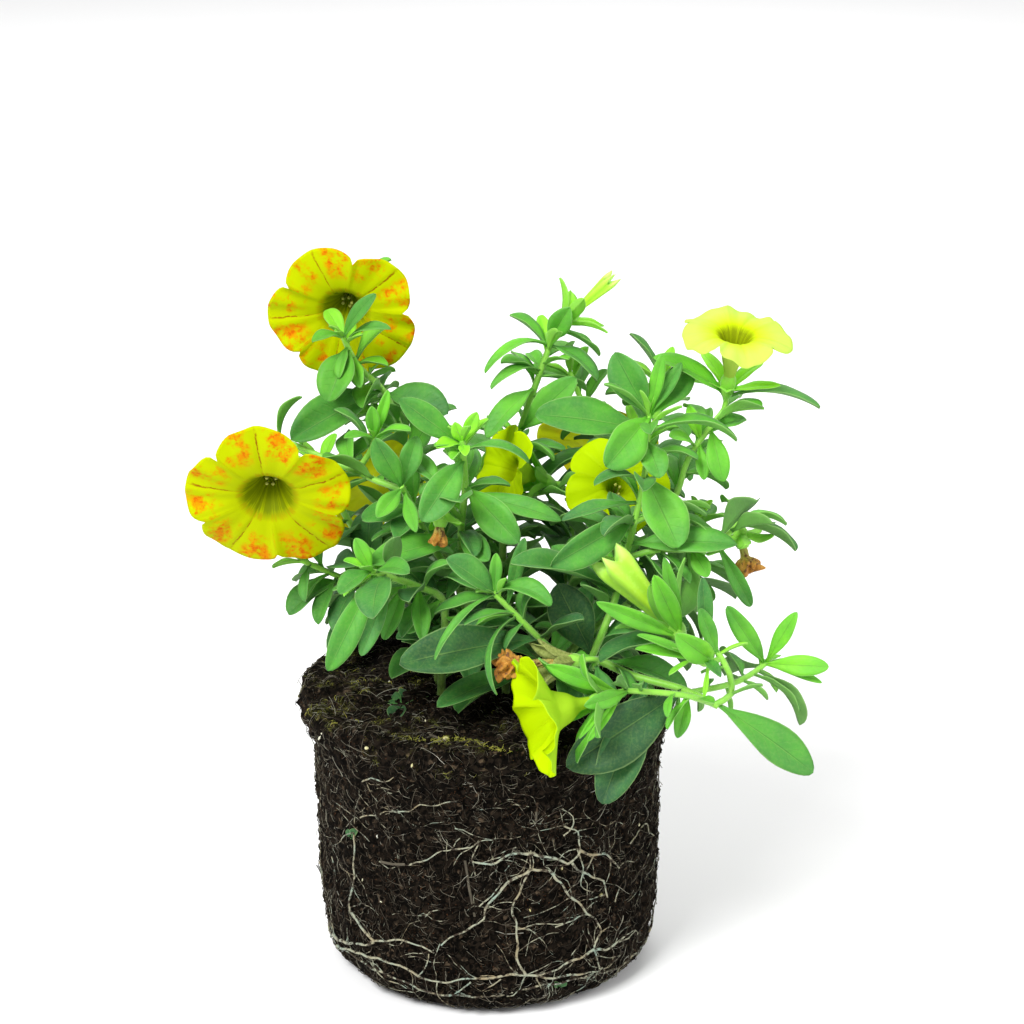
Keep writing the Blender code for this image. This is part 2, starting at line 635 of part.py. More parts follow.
def front_stem(blooms):
    """The stem that leans out to the right over the brim, with the tall shoot that rises from it."""
    stem = Stem("stem_front", (5.0, -8.0), (0.16, 0.42, 0.06))
    way = [seen(545, 664, -16), seen(591, 659, -24), seen(634, 676, -31), seen(682, 689, -35)]
    stem.main([*way, seen(718, 706, -36)], STEM_RADIUS, 0.85)
    bud = blooms["bud_front"]
    stem.stalk(bud, [seen(718, 706, -36), seen(731, 694, -36), seen(729, 673, -34), seen(713, 648, -32)])
    stem.calyx(bud, long=16.0, spread=26.0, roll=0.6)
    stem.stalk(blooms["bloom_front"], [seen(713, 704, -36), seen(682, 695, -41)])
    stem.calyx(blooms["bloom_front"], long=17.0, spread=42.0, roll=0.9)
    way = [seen(691, 690, -35), seen(731, 684, -29), seen(753, 673, -22), seen(767, 662, -18)]
    stem.clothe(stem.shoot(way), bare=16.0, gap=9.0, long=(9.0, 12.0), wide=0.26)
    way = [seen(591, 659, -24), seen(608, 619, -22), seen(617, 592, -20), seen(634, 524, -17)]
    tall = stem.shoot([*way, seen(645, 473, -14), seen(649, 413, -12)], 1.0)
    stem.clothe(tall, bare=34.0, gap=20.0, long=(15.0, 13.0), wide=0.3)
    way = [seen(635, 522, -17), seen(660, 510, -14), seen(677, 493, -12), seen(688, 459, -10)]
    stem.stalk(blooms["bloom_right"], [*way, seen(711, 426, -8)])
    stem.calyx(blooms["bloom_right"], long=12.0, spread=50.0)
    way = [seen(562, 658, -20), seen(540, 639, -25), seen(518, 617, -27), seen(493, 592, -29)]
    stem.clothe(stem.shoot(way, 0.9), bare=18.0, gap=30.0, long=(10.0, 9.0), wide=0.28, tuft=3)
    way = [seen(722, 658, -34), seen(704, 664, -36), seen(688, 654, -38)]
    stem.clothe(stem.shoot(way), bare=4.0, gap=30.0, long=(9.0, 9.0), wide=0.26, tuft=3)
    way = [seen(632, 560, -19), seen(657, 550, -19), seen(700, 548, -17), seen(735, 528, -12)]
    stem.stalk(blooms["spent_right"], way)
    stem.calyx(blooms["spent_right"], long=8.0, spread=60.0)
    stem.stalk(blooms["spent_front"], [seen(600, 661, -25), seen(592, 668, -28)])
    stem.calyx(blooms["spent_front"], long=12.0, spread=22.0)

    stem.leaf((718, 706, -36), (813, 773, -39), 8.6, 15, HALF)
    stem.leaf((684, 689, -35), (566, 767, -50), 12.5, 25, FRONT)
    stem.leaf((645, 679, -33), (602, 804, -51), 10.0, 40, FRONT)
    stem.leaf((689, 690, -36), (677, 738, -42), 3.6, 50, FRONT)
    stem.leaf((590, 655, -24), (557, 584, -20), 10.0, 15, FRONT)
    stem.leaf((603, 640, -23), (652, 622, -18), 7.5, 30, SKY)
    stem.leaf((720, 656, -33), (700, 608, -34), 3.6, 10, FRONT)
    stem.leaf((705, 640, -31), (702, 577, -33), 3.6, 10, FRONT)
    stem.leaf((643, 415, -12), (615, 352, -10), 8.0, 10, FRONT)
    stem.leaf((646, 412, -12), (604, 384, -18), 3.6, 30, SKY)
    stem.leaf((651, 412, -12), (662, 355, -12), 3.2, 10, FRONT)
    stem.leaf((655, 412, -12), (682, 363, -10), 3.0, 10, FRONT)
    stem.leaf((660, 412, -11), (690, 364, -4), 7.0, 15, FRONT)
    stem.leaf((646, 416, -13), (606, 467, -22), 9.0, 28, FRONT)
    stem.leaf((645, 432, -13), (535, 415, -20), 9.0, 22, HALF)
    stem.leaf((651, 434, -12), (737, 441, -14), 4.4, 90, SKY)
    stem.leaf((651, 442, -12), (660, 478, -22), 6.0, 40, FRONT)
    stem.leaf((646, 475, -14), (678, 548, -25), 9.6, 22, FRONT)
    stem.leaf((645, 480, -15), (680, 523, -6), 6.0, 20, FRONT)
    stem.leaf((644, 485, -15), (597, 477, -26), 3.6, 70, SKY)
    stem.leaf((638, 503, -16), (562, 521, -20), 4.2, 30, SKY)
    stem.leaf((634, 517, -17), (550, 566, -32), 7.6, 30, FRONT)
    stem.leaf((632, 545, -18), (737, 545, -22), 7.6, 22, HALF)
    stem.leaf((616, 592, -20), (511, 564, -33), 7.6, 25, SKY)
    stem.leaf((735, 400, -7), (820, 408, -9), 5.6, 60, SKY)
    stem.leaf((733, 400, -7), (660, 354, -9), 5.6, 50, HALF)
    stem.leaf((711, 428, -8), (723, 482, -14), 5.0, 40, FRONT)
    stem.leaf((700, 444, -9), (704, 480, -14), 3.2, 30, FRONT)
    stem.leaf((697, 448, -9), (669, 436, -14), 4.0, 50, SKY)
    stem.leaf((700, 440, -9), (689, 405, -8), 3.0, 20, FRONT)
    stem.leaf((715, 545, -14), (751, 606, -13), 3.6, 40, FRONT)
    stem.leaf((690, 550, -17), (708, 577, -22), 4.0, 30, FRONT)
    stem.leaf((487, 590, -29), (446, 559, -33), 6.3, 20, HALF)
    stem.leaf((494, 590, -29), (496, 553, -28), 2.8, 10, FRONT)
    stem.leaf((497, 594, -29), (551, 606, -36), 4.6, 95, SKY)
    stem.leaf((492, 594, -29), (435, 660, -42), 2.2, 70, SKY)
    stem.leaf((515, 618, -27), (497, 695, -42), 2.2, 75, SKY)
    stem.leaf((512, 615, -27), (464, 625, -38), 2.6, 40, SKY)
    stem.leaf((507, 606, -28), (524, 541, -30), 3.2, 20, FRONT)
    stem.leaf((540, 638, -25), (396, 674, -38), 10.5, 15, HALF)
    stem.leaf((528, 668, -12), (437, 707, -36), 6.0, 25, HALF)
    return stem


def centre_left_stem(blooms):
    """The upright stem left of the middle, with a bright tuft at its tip."""
    stem = Stem("stem_centre_left", (-4.0, -4.0), (0.18, 0.45, 0.06))
    way = [seen(468, 600, -4), seen(461, 540, -5), seen(465, 486, -8), seen(462, 440, -11)]
    stem.clothe(stem.main(way), bare=34.0, gap=14.0, long=(16.0, 10.0), wide=0.34)
    stem.stalk(blooms["spent_left"], [seen(462, 520, -6), seen(450, 506, -9)])
    stem.calyx(blooms["spent_left"], long=6.0, spread=45.0)
    stem.leaf((461, 446, -11), (399, 399, -12), 6.0, 18, FRONT)
    stem.leaf((462, 460, -10), (420, 524, -20), 7.6, 25, FRONT)
    stem.leaf((464, 486, -8), (519, 543, -18), 7.6, 20, FRONT)
    stem.leaf((464, 495, -8), (561, 521, -14), 5.2, 22, HALF)
    stem.leaf((464, 452, -10), (529, 463, -14), 3.2, 90, SKY)
    stem.leaf((462, 450, -10), (434, 446, -16), 2.8, 40, SKY)
    stem.leaf((462, 530, -5), (489, 561, -18), 5.6, 25, FRONT)
    stem.leaf((461, 540, -5), (368, 564, -25), 6.6, 20, HALF)
    return stem


def left_low_stem():
    """The low shoot that leans out to the left, with leaves that hang over the brim."""
    stem = Stem("stem_left_low", (-11.0, -8.0), (0.12, 0.36, 0.08))
    way = [seen(445, 622, -11), seen(441, 597, -14), seen(419, 587, -18), seen(397, 579, -22)]
    main = stem.main([*way, seen(370, 571, -26)])
    stem.clothe(main, bare=30.0, gap=14.0, long=(14.0, 10.0), wide=0.34, tuft=3)
    stem.leaf((370, 571, -26), (339, 594, -33), 4.6, 50, SKY)
    stem.leaf((366, 571, -26), (355, 538, -26), 3.6, 10, FRONT)
    stem.leaf((376, 573, -25), (328, 671, -37), 6.2, 40, FRONT)
    stem.leaf((391, 578, -23), (361, 656, -35), 4.4, 30, FRONT)
    stem.leaf((418, 587, -18), (422, 641, -30), 4.2, 30, FRONT)
    stem.leaf((405, 582, -20), (384, 640, -28), 4.2, 35, FRONT)
    stem.leaf((440, 600, -14), (406, 633, -20), 4.4, 30, FRONT)
    return stem


def left_flower_stem(blooms):
    """The stem that carries the large veined bloom on the left."""
    stem = Stem("stem_left_flower", (-12.0, 1.0), (0.18, 0.46, 0.06))
    stem.main([seen(462, 600, 4), seen(432, 545, 0), seen(409, 500, -6), seen(401, 486, -9)])
    bloom = blooms["bloom_left"]
    stem.stalk(bloom, [seen(402, 489, -8), seen(380, 482, -6), seen(352, 470, -1)])
    stem.calyx(bloom, spread=35.0)
    side = stem.shoot([seen(356, 471, -2), seen(370, 452, -2), seen(375, 437, -4)])
    stem.clothe(side, bare=30.0, long=(8.0, 7.0), wide=0.3, tuft=3)
    stem.leaf((376, 438, -4), (372, 406, -6), 3.2, 10, FRONT)
    stem.leaf((377, 438, -4), (411, 431, -10), 3.6, 45, SKY)
    stem.leaf((374, 440, -4), (344, 438, -10), 2.4, 40, SKY)
    stem.leaf((377, 440, -3), (388, 390, -2), 2.6, 5, FRONT)
    stem.leaf((400, 484, -9), (375, 438, -13), 5.8, 15, FRONT)
    stem.leaf((404, 484, -9), (417, 436, -6), 5.0, 15, FRONT)
    stem.leaf((401, 488, -9), (377, 518, -17), 4.2, 20, FRONT)
    stem.leaf((405, 492, -8), (423, 550, -17), 3.6, 20, FRONT)
    stem.leaf((412, 506, -5), (362, 520, -14), 5.5, 30, HALF)
    stem.leaf((425, 530, -2), (392, 560, -16), 6.5, 30, HALF)
    stem.leaf((420, 520, -3), (450, 480, -2), 5.0, 30, HALF)
    return stem


def back_centre_stem(blooms):
    """The slender stem that rises behind the middle, with long arching leaves and a bud."""
    stem = Stem("stem_back_centre", (3.0, 7.0), (0.17, 0.44, 0.07))
    way = [seen(503, 560, 12), seen(501, 486, 17), seen(518, 436, 21), seen(529, 403, 23)]
    main = stem.main([*way, seen(551, 342, 26)])
    stem.clothe(main, bare=22.0, gap=18.0, long=(20.0, 12.0), wide=0.34)
    stem.stalk(blooms["bud_back"], [seen(551, 344, 26)])
    stem.calyx(blooms["bud_back"], long=11.0, spread=40.0)
    stem.stalk(blooms["bloom_back_middle"], [seen(501, 500, 16), seen(515, 498, 14)])
    stem.calyx(blooms["bloom_back_middle"], long=9.0)
    stem.leaf((554, 340, 26), (578, 295, 26), 6.0, 15, FRONT)
    stem.leaf((551, 346, 26), (597, 381, 20), 6.0, 60, SKY)
    stem.leaf((549, 346, 26), (485, 373, 14), 2.8, 95, SKY)
    stem.leaf((539, 370, 25), (491, 389, 14), 3.2, 80, SKY)
    stem.leaf((534, 388, 24), (487, 438, 12), 5.6, 60, HALF)
    stem.leaf((520, 432, 21), (577, 378, 15), 6.8, 15, FRONT)
    stem.leaf((522, 425, 21), (560, 400, 30), 6.0, 20, HALF)
    return stem


def back_left_stem(blooms):
    """The stem behind on the left, with two broad leaves and the upper veined bloom."""
    stem = Stem("stem_back_left", (-7.0, 10.0), (0.15, 0.40, 0.07))
    way = [seen(462, 600, 13), seen(432, 520, 15), seen(405, 440, 17), seen(384, 392, 18)]
    main = stem.main([*way, seen(362, 372, 22)])
    stem.clothe(main, bare=24.0, gap=14.0, long=(20.0, 16.0), tuft=0)
    bloom = blooms["bloom_back_left"]
    stem.stalk(bloom, [seen(384, 392, 18), seen(374, 400, 28), seen(357, 374, 39)])
    stem.calyx(bloom, long=12.0, spread=35.0)
    side = stem.shoot([seen(368, 377, 21), seen(352, 356, 14), seen(343, 336, 10)])
    stem.clothe(side, bare=7.0, gap=9.0, long=(10.0, 9.0), wide=0.3, tuft=3)
    stem.leaf((382, 390, 18), (291, 440, 4), 9.2, 18, HALF)
    stem.leaf((386, 394, 18), (448, 414, 8), 8.0, 45, HALF)
    stem.leaf((343, 340, 10), (312, 342, 4), 3.4, 60, SKY)
    stem.leaf((344, 338, 10), (376, 294, 6), 3.4, 40, HALF)
    stem.leaf((346, 344, 11), (391, 329, 4), 2.8, 60, SKY)
    stem.leaf((350, 350, 12), (328, 402, 2), 8.0, 30, FRONT)
    stem.leaf((410, 455, 17), (440, 410, 14), 8.0, 25, HALF)
    return stem


def back_right_stem(blooms):
    """The stem behind on the right, with broad leaves round a bloom."""
    stem = Stem("stem_back_right", (12.0, 5.0), (0.14, 0.38, 0.07))
    main = stem.main(spots((20, 14, 90), (30, 24, 108), (41, 30, 126), (45, 30, 144)))
    stem.clothe(main, bare=18.0, long=(24.0, 13.0), wide=0.38)
    stem.stalk(blooms["bloom_back_right"], spots((27, 21, 102)))
    stem.calyx(blooms["bloom_back_right"], long=10.0)
    side = stem.shoot(spots((36, 27, 117), (27, 32, 130), (21, 32, 144)))
    stem.clothe(side, long=(20.0, 12.0), tuft=3)
    return stem


def right_low_stem():
    """A short low stem on the right."""
    stem = Stem("stem_right_low", (16.0, -5.0), (0.12, 0.35, 0.09))
    main = stem.main(spots((24, -8, 88), (36, -6, 97), (47, -2, 106), (52, 0, 116)))
    stem.clothe(main, bare=14.0, long=(21.0, 12.0), wide=0.33, droop=65.0)
    side = stem.shoot(spots((30, -7, 93), (42, 6, 92), (52, 14, 98)))
    stem.clothe(side, long=(19.0, 12.0), wide=0.33, droop=65.0, tuft=3)
    return stem


def rear_left_stem(blooms):
    """The stem that leans out behind on the left, with a bloom of its own."""
    stem = Stem("stem_rear_left", (-14.0, 11.0), (0.13, 0.36, 0.07))
    main = stem.main(spots((-22, 19, 90), (-34, 27, 104), (-43, 31, 120)))
    stem.clothe(main, bare=14.0, long=(24.0, 13.0))
    stem.stalk(blooms["bloom_rear_left"], spots((-25, 21, 93), (-21, 30, 98)))
    stem.calyx(blooms["bloom_rear_left"], long=12.0)
    side = stem.shoot(spots((-20, 17, 88), (-34, 10, 96), (-46, 4, 104)))
    stem.clothe(side, bare=10.0, gap=13.0, long=(21.0, 12.0), tuft=3)
    return stem


def rear_right_stem(blooms):
    """The stem that leans out behind on the right, with a bloom of its own."""
    stem = Stem("stem_rear_right", (12.0, 16.0), (0.13, 0.37, 0.07))
    main = stem.main(spots((20, 26, 90), (30, 34, 108), (38, 38, 126)))
    stem.clothe(main, bare=14.0, long=(24.0, 13.0))
    stem.stalk(blooms["bloom_rear_right"], spots((23, 28, 95), (22, 36, 101)))
    stem.calyx(blooms["bloom_rear_right"], long=12.0)
    side = stem.shoot(spots((18, 23, 86), (34, 24, 92), (48, 26, 102)))
    stem.clothe(side, bare=10.0, gap=13.0, long=(21.0, 12.0), tuft=3)
    return stem


def rear_centre_stem():
    """The stem at the back that leans out over the brim."""
    stem = Stem("stem_rear_centre", (0.0, 19.0), (0.13, 0.36, 0.08))
    main = stem.main(spots((-1, 28, 88), (1, 38, 99), (-2, 47, 112)))
    stem.clothe(main, bare=12.0, long=(24.0, 13.0))
    side = stem.shoot(spots((0, 30, 90), (6, 34, 104), (6, 38, 120)))
    stem.clothe(side, bare=9.0, long=(19.0, 12.0), tuft=3)
    return stem


def root_web():
    """The larger roots that lie on the ball: a ring round its foot, with branches up its side."""
    bodies = []
    placed = []

    def apart(first, second):
        """How far two spots, each an angle and a height, lie apart on the ball's side."""
        return math.hypot((second[0] - first[0]) * ROOT_BEND, second[1] - first[1])

    def lay(points, thick, thin):
        """One root through the points. It starts at the nearest spot of the roots laid before."""
        if placed:
            points = [min(placed, key=lambda spot: apart(spot, points[0])), *points[1:]]
        route = []
        for start, end in zip(points, points[1:]):
            count = max(1, round(apart(start, end) / ROOT_STEP))
            for i in range(count):
                t = i / count
                route.append((start[0] + (end[0] - start[0]) * t, start[1] + (end[1] - start[1]) * t))
        route.append(points[-1])
        placed.extend(route)
        radii = [thick + (thin - thick) * i / (len(route) - 1) for i in range(len(route))]
        spots = [ball_point(angle, height, ROOT_OUT) for angle, height in route]
        bodies.append(tube(spots, radii, ROOT_SIDES))

    def on_ball(across, down):
        """The angle and height of the ball's point seen at that place."""
        for step in range(400):
            point = seen(across, down, -52.0 + step * 0.25)
            angle = math.atan2(point.y, point.x - BALL_SHIFT * max(0.0, 1.0 - point.z / BALL_HEIGHT))
            if point.z < 70.0 and (point - ball_point(angle, point.z)).xy.dot(point.xy) < 0.0:
                return angle, max(point.z, ROOT_LOWEST)
        raise ValueError("no point of the ball is seen there")

    turn = 2.0 * math.pi
    count = 24
    circle = [(turn * k / count - 2.75, ROOT_LOWEST + 1.3 + 1.3 * math.sin(k * 1.3)) for k in range(count)]
    lay([*circle, (circle[0][0] + turn - 0.12, circle[0][1])], *ROOT_RING)
    shown = [
        [(337, 944), (374, 955), (409, 968), (440, 980), (480, 976)],
        [(480, 976), (526, 974), (576, 974), (597, 968)],
        [(526, 970), (515, 951), (517, 927), (513, 900), (530, 866), (530, 850)],
        [(530, 850), (513, 853), (492, 863), (470, 857), (480, 842)],
        [(530, 850), (550, 858), (569, 861), (578, 848), (574, 832), (563, 826)],
        [(530, 866), (508, 883), (485, 905), (479, 922), (441, 942)],
        [(535, 866), (551, 872), (571, 898), (595, 920), (598, 931), (591, 948), (598, 966)],
        [(591, 948), (610, 945), (623, 934)],
        [(591, 952), (572, 960), (554, 968), (536, 974)],
        [(569, 862), (582, 873), (600, 880), (604, 894)],
        [(578, 850), (591, 853), (606, 857), (617, 866)],
    ]
    for run in shown:
        lay([on_ball(*spot) for spot in run], *ROOT_SHOWN)
    draw = random.Random("roots")
    for k in range(5):
        angle = 0.4 + (math.pi + 0.45) * k / 4.0
        height = 7.0
        run = [(angle, height)]
        for _ in range(draw.randint(3, 5)):
            angle += draw.uniform(-0.22, 0.22)
            height += draw.uniform(7.0, 13.0)
            run.append((angle, min(height, 58.0)))
        lay(run, *ROOT_REAR)
        fork = run[1]
        lay([fork, (fork[0] + 0.25, fork[1] + 4.0), (fork[0] + 0.42, fork[1] + 2.0)], *ROOT_FORK)
    return bodies


def material(name, colour, roughness):
    finish = bpy.data.materials.new(name)
    finish.use_nodes = True
    shader = finish.node_tree.nodes["Principled BSDF"]
    shader.inputs["Base Color"].default_value = (*colour, 1.0)
    shader.inputs["Roughness"].default_value = roughness
    return finish


def mesh_object(name, body):
    """An object in metres from a body's points and faces."""
    points, faces = body
    mesh = bpy.data.meshes.new(name)
    mesh.from_pydata([point * MM for point in points], [], faces)
    thing = bpy.data.objects.new(name, mesh)
    bpy.context.scene.collection.objects.link(thing)
    return thing


def combined(name, body, others, operation):
    """One object: the body with the others joined to it, or cut from it, in one Boolean."""
    thing = mesh_object(name, body)
    parts = bpy.data.collections.new(name + "_parts")
    for i, other in enumerate(others):
        part = mesh_object(f"{name}_part_{i}", other)
        bpy.context.scene.collection.objects.unlink(part)
        parts.objects.link(part)
    boolean = thing.modifiers.new("join", "BOOLEAN")
    boolean.operation = operation
    boolean.solver = "MANIFOLD"
    boolean.operand_type = "COLLECTION"
    boolean.collection = parts
    graph = bpy.context.evaluated_depsgraph_get()
    thing.data = bpy.data.meshes.new_from_object(thing.evaluated_get(graph))
    thing.modifiers.clear()
    for part in list(parts.objects):
        bpy.data.objects.remove(part)
    bpy.data.collections.remove(parts)
    return thing


def closest_corners(mesh):
    """The least distance between two corners of a mesh."""
    tree = KDTree(len(mesh.vertices))
    for corner in mesh.vertices:
        tree.insert(corner.co, corner.index)
    tree.balance()
    return min(tree.find_n(corner.co, 2)[1][2] for corner in mesh.vertices) / MM


def joined(name, bodies, operation="UNION"):
    """The combined bodies. Where two corners all but meet, the others are shifted by a hair."""
    draw = random.Random(name)
    thing = combined(name, bodies[0], bodies[1:], operation)
    for _ in range(JOIN_TRIES):
        if closest_corners(thing.data) > LEAST_EDGE:
            break
        bpy.data.objects.remove(thing)
        others = []
        for points, faces in bodies[1:]:
            hair = Vector([draw.uniform(-HAIR, HAIR) for _ in range(3)])
            others.append(([point + hair for point in points], faces))
        thing = combined(name, bodies[0], others, operation)
    thing.data.name = name
    return thing


def dressed(thing, colour, roughness):
    thing.data.materials.clear()
    thing.data.materials.append(material(thing.name, colour, roughness))
    thing.data.shade_smooth()
    thing.data.set_sharp_from_angle(angle=math.radians(35.0))


def root_ball(feet):
    """The peat, in the shape of the pot it grew in, with a hole for each stem."""
    angles = [2.0 * math.pi * k / BALL_SIDES for k in range(BALL_SIDES)]
    rings = [[ball_point(angle, height) for angle in angles] for height, _ in BALL_PROFILE]
    for radius in TOP_RINGS:
        ring = [(radius * math.cos(angle), radius * math.sin(angle)) for angle in angles]
        rings.append([Vector((x, y, top_height(x, y))) for x, y in ring])
    rings.append([Vector((0.0, 0.0, top_height(0.0, 0.0)))])
    bodies = [loft(rings)]
    for x, y in feet:
        floor = top_height(x, y) - HOLE_DEPTH
        radius = (STEM_RADIUS + CLEARANCE) / math.cos(math.pi / HOLE_SIDES)
        route = [Vector((x, y, floor)), Vector((x, y, floor + HOLE_CUT))]
        bodies.append(tube(route, [radius, radius], HOLE_SIDES))
    return joined("root_ball", bodies, "DIFFERENCE")


for old in list(bpy.data.objects):
    bpy.data.objects.remove(old)

blooms, stems = build_layout()
dressed(root_ball([stem.foot for stem in stems]), (0.028, 0.019, 0.012), 0.95)
dressed(joined("surface_roots", root_web()), (0.42, 0.36, 0.25), 0.8)
for stem in stems:
    dressed(joined(stem.name, [*stem.tubes, *(blade.body() for blade in stem.blades)]), stem.colour, 0.6)
COLOURS = {"open": (0.90, 0.78, 0.03), "bud": (0.62, 0.78, 0.05), "spent": (0.42, 0.20, 0.06)}
for bloom in blooms:
    dressed(mesh_object(bloom.name, bloom.body()), COLOURS[bloom.kind], 0.55)
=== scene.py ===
import json
import math
import random

import bpy
from mathutils import Matrix, Vector
from mathutils.bvhtree import BVHTree
from mathutils.kdtree import KDTree
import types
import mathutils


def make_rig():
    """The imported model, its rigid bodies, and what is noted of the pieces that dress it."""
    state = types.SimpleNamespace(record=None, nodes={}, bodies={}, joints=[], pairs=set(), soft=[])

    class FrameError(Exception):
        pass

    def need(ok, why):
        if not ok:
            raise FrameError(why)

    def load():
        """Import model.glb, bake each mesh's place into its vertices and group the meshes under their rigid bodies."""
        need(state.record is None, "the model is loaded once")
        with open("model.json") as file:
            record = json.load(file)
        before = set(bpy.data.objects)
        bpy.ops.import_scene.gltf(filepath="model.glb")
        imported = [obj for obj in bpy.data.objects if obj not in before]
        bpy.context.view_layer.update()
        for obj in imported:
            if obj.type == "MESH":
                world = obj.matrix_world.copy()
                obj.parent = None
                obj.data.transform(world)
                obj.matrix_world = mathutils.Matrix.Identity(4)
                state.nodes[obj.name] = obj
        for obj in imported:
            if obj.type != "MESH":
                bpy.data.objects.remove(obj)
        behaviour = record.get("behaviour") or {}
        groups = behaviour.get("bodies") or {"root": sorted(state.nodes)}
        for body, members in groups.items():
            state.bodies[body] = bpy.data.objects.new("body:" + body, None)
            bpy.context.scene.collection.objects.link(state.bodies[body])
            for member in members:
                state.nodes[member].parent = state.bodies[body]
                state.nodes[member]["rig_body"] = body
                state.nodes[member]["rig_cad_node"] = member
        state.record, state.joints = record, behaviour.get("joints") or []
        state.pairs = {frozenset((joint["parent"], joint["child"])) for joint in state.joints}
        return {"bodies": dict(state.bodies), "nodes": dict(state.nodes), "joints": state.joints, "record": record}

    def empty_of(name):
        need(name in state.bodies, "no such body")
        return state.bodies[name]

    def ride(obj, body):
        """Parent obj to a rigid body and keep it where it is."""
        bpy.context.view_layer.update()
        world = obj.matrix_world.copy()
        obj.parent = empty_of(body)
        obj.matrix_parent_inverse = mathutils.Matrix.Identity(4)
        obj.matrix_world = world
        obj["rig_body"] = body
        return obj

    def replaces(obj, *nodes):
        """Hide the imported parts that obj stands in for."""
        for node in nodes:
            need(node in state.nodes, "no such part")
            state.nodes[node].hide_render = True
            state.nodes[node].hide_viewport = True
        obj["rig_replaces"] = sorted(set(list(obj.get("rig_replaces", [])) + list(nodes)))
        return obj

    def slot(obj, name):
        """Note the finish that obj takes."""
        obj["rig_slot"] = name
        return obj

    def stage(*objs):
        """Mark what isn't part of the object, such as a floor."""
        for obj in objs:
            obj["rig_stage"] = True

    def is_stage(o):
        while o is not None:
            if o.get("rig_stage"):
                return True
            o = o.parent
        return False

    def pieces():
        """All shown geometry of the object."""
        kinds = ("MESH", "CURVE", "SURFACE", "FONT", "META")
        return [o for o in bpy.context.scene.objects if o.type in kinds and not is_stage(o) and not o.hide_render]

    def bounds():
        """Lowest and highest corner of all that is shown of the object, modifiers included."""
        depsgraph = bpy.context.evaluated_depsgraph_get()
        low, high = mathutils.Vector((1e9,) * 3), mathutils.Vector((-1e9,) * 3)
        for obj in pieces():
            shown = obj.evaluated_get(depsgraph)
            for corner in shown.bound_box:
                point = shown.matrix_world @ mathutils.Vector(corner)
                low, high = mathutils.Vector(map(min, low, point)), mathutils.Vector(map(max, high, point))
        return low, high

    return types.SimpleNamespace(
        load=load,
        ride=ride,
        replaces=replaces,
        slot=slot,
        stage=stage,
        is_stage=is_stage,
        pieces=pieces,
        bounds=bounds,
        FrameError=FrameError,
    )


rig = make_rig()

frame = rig.load()
cad_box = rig.bounds()

# The viewer's place, the table and the light.
# The plant stands on a plain white table in soft daylight from a studio's lamps. The camera looks down on it
# by 20 degrees. Lengths are millimetres until a mesh is made; seen() finds a point from its picture place.
MM = 0.001
BALL_HEIGHT = 75.0
BALL_TOP_SEEN = (486.0, 674.0)
EYE_TILT = math.radians(20.0)
EYE_DISTANCE = 800.0
EYE_FOCUS = 3200.0
PICTURE_SIDE = 1024.0
PICTURE_MIDDLE = PICTURE_SIDE / 2.0
SENSOR = 36.0
LAMPS = (  # name, place in metres, side of its square, watts
    ("lamp_front", (-0.55, -0.85, 1.15), 0.6, 28.0),
    ("lamp_right", (1.0, -0.45, 0.7), 0.8, 6.0),
    ("lamp_behind", (0.1, 0.9, 1.0), 0.9, 9.0),
)
LAMP_AIM = Vector((0.0, 0.0, 0.09))
ROOM_LIGHT = 0.52
TABLE_SIDE = 6.0

RIGHT = Vector((1.0, 0.0, 0.0))
LOOK = Vector((0.0, math.cos(EYE_TILT), -math.sin(EYE_TILT)))
OVER = Vector((0.0, math.sin(EYE_TILT), math.cos(EYE_TILT)))
PIXEL = EYE_DISTANCE / EYE_FOCUS
EYE = (
    Vector((0.0, 0.0, BALL_HEIGHT))
    - RIGHT * (BALL_TOP_SEEN[0] - PICTURE_MIDDLE) * PIXEL
    + OVER * (BALL_TOP_SEEN[1] - PICTURE_MIDDLE) * PIXEL
    - LOOK * EYE_DISTANCE
)


def seen(across, down, depth):
    """The point at that depth behind the ball's axis which shows at that place of the picture."""
    ray = LOOK + RIGHT * (across - PICTURE_MIDDLE) / EYE_FOCUS - OVER * (down - PICTURE_MIDDLE) / EYE_FOCUS
    return EYE + ray * ((depth - EYE.y) / ray.y)


def placed(name, data):
    """A new object that holds this data."""
    thing = bpy.data.objects.new(name, data)
    bpy.context.scene.collection.objects.link(thing)
    return thing


camera = placed("camera", bpy.data.cameras.new("camera"))
camera.data.sensor_width = SENSOR
camera.data.lens = SENSOR * EYE_FOCUS / PICTURE_SIDE
camera.data.clip_start = 0.05
camera.location = EYE * MM
camera.rotation_euler = (math.pi / 2.0 - EYE_TILT, 0.0, 0.0)
bpy.context.scene.camera = camera
bpy.context.scene.view_settings.view_transform = "Standard"

for name, place, side, watts in LAMPS:
    lamp = placed(name, bpy.data.lights.new(name, "AREA"))
    lamp.data.size = side
    lamp.data.energy = watts
    lamp.location = place
    lamp.rotation_euler = (LAMP_AIM - Vector(place)).to_track_quat("-Z", "Y").to_euler()
room = bpy.data.worlds.new("room")
bpy.context.scene.world = room
room.use_nodes = True
room.node_tree.nodes["Background"].inputs["Color"].default_value = (1.0, 1.0, 1.0, 1.0)
room.node_tree.nodes["Background"].inputs["Strength"].default_value = ROOM_LIGHT


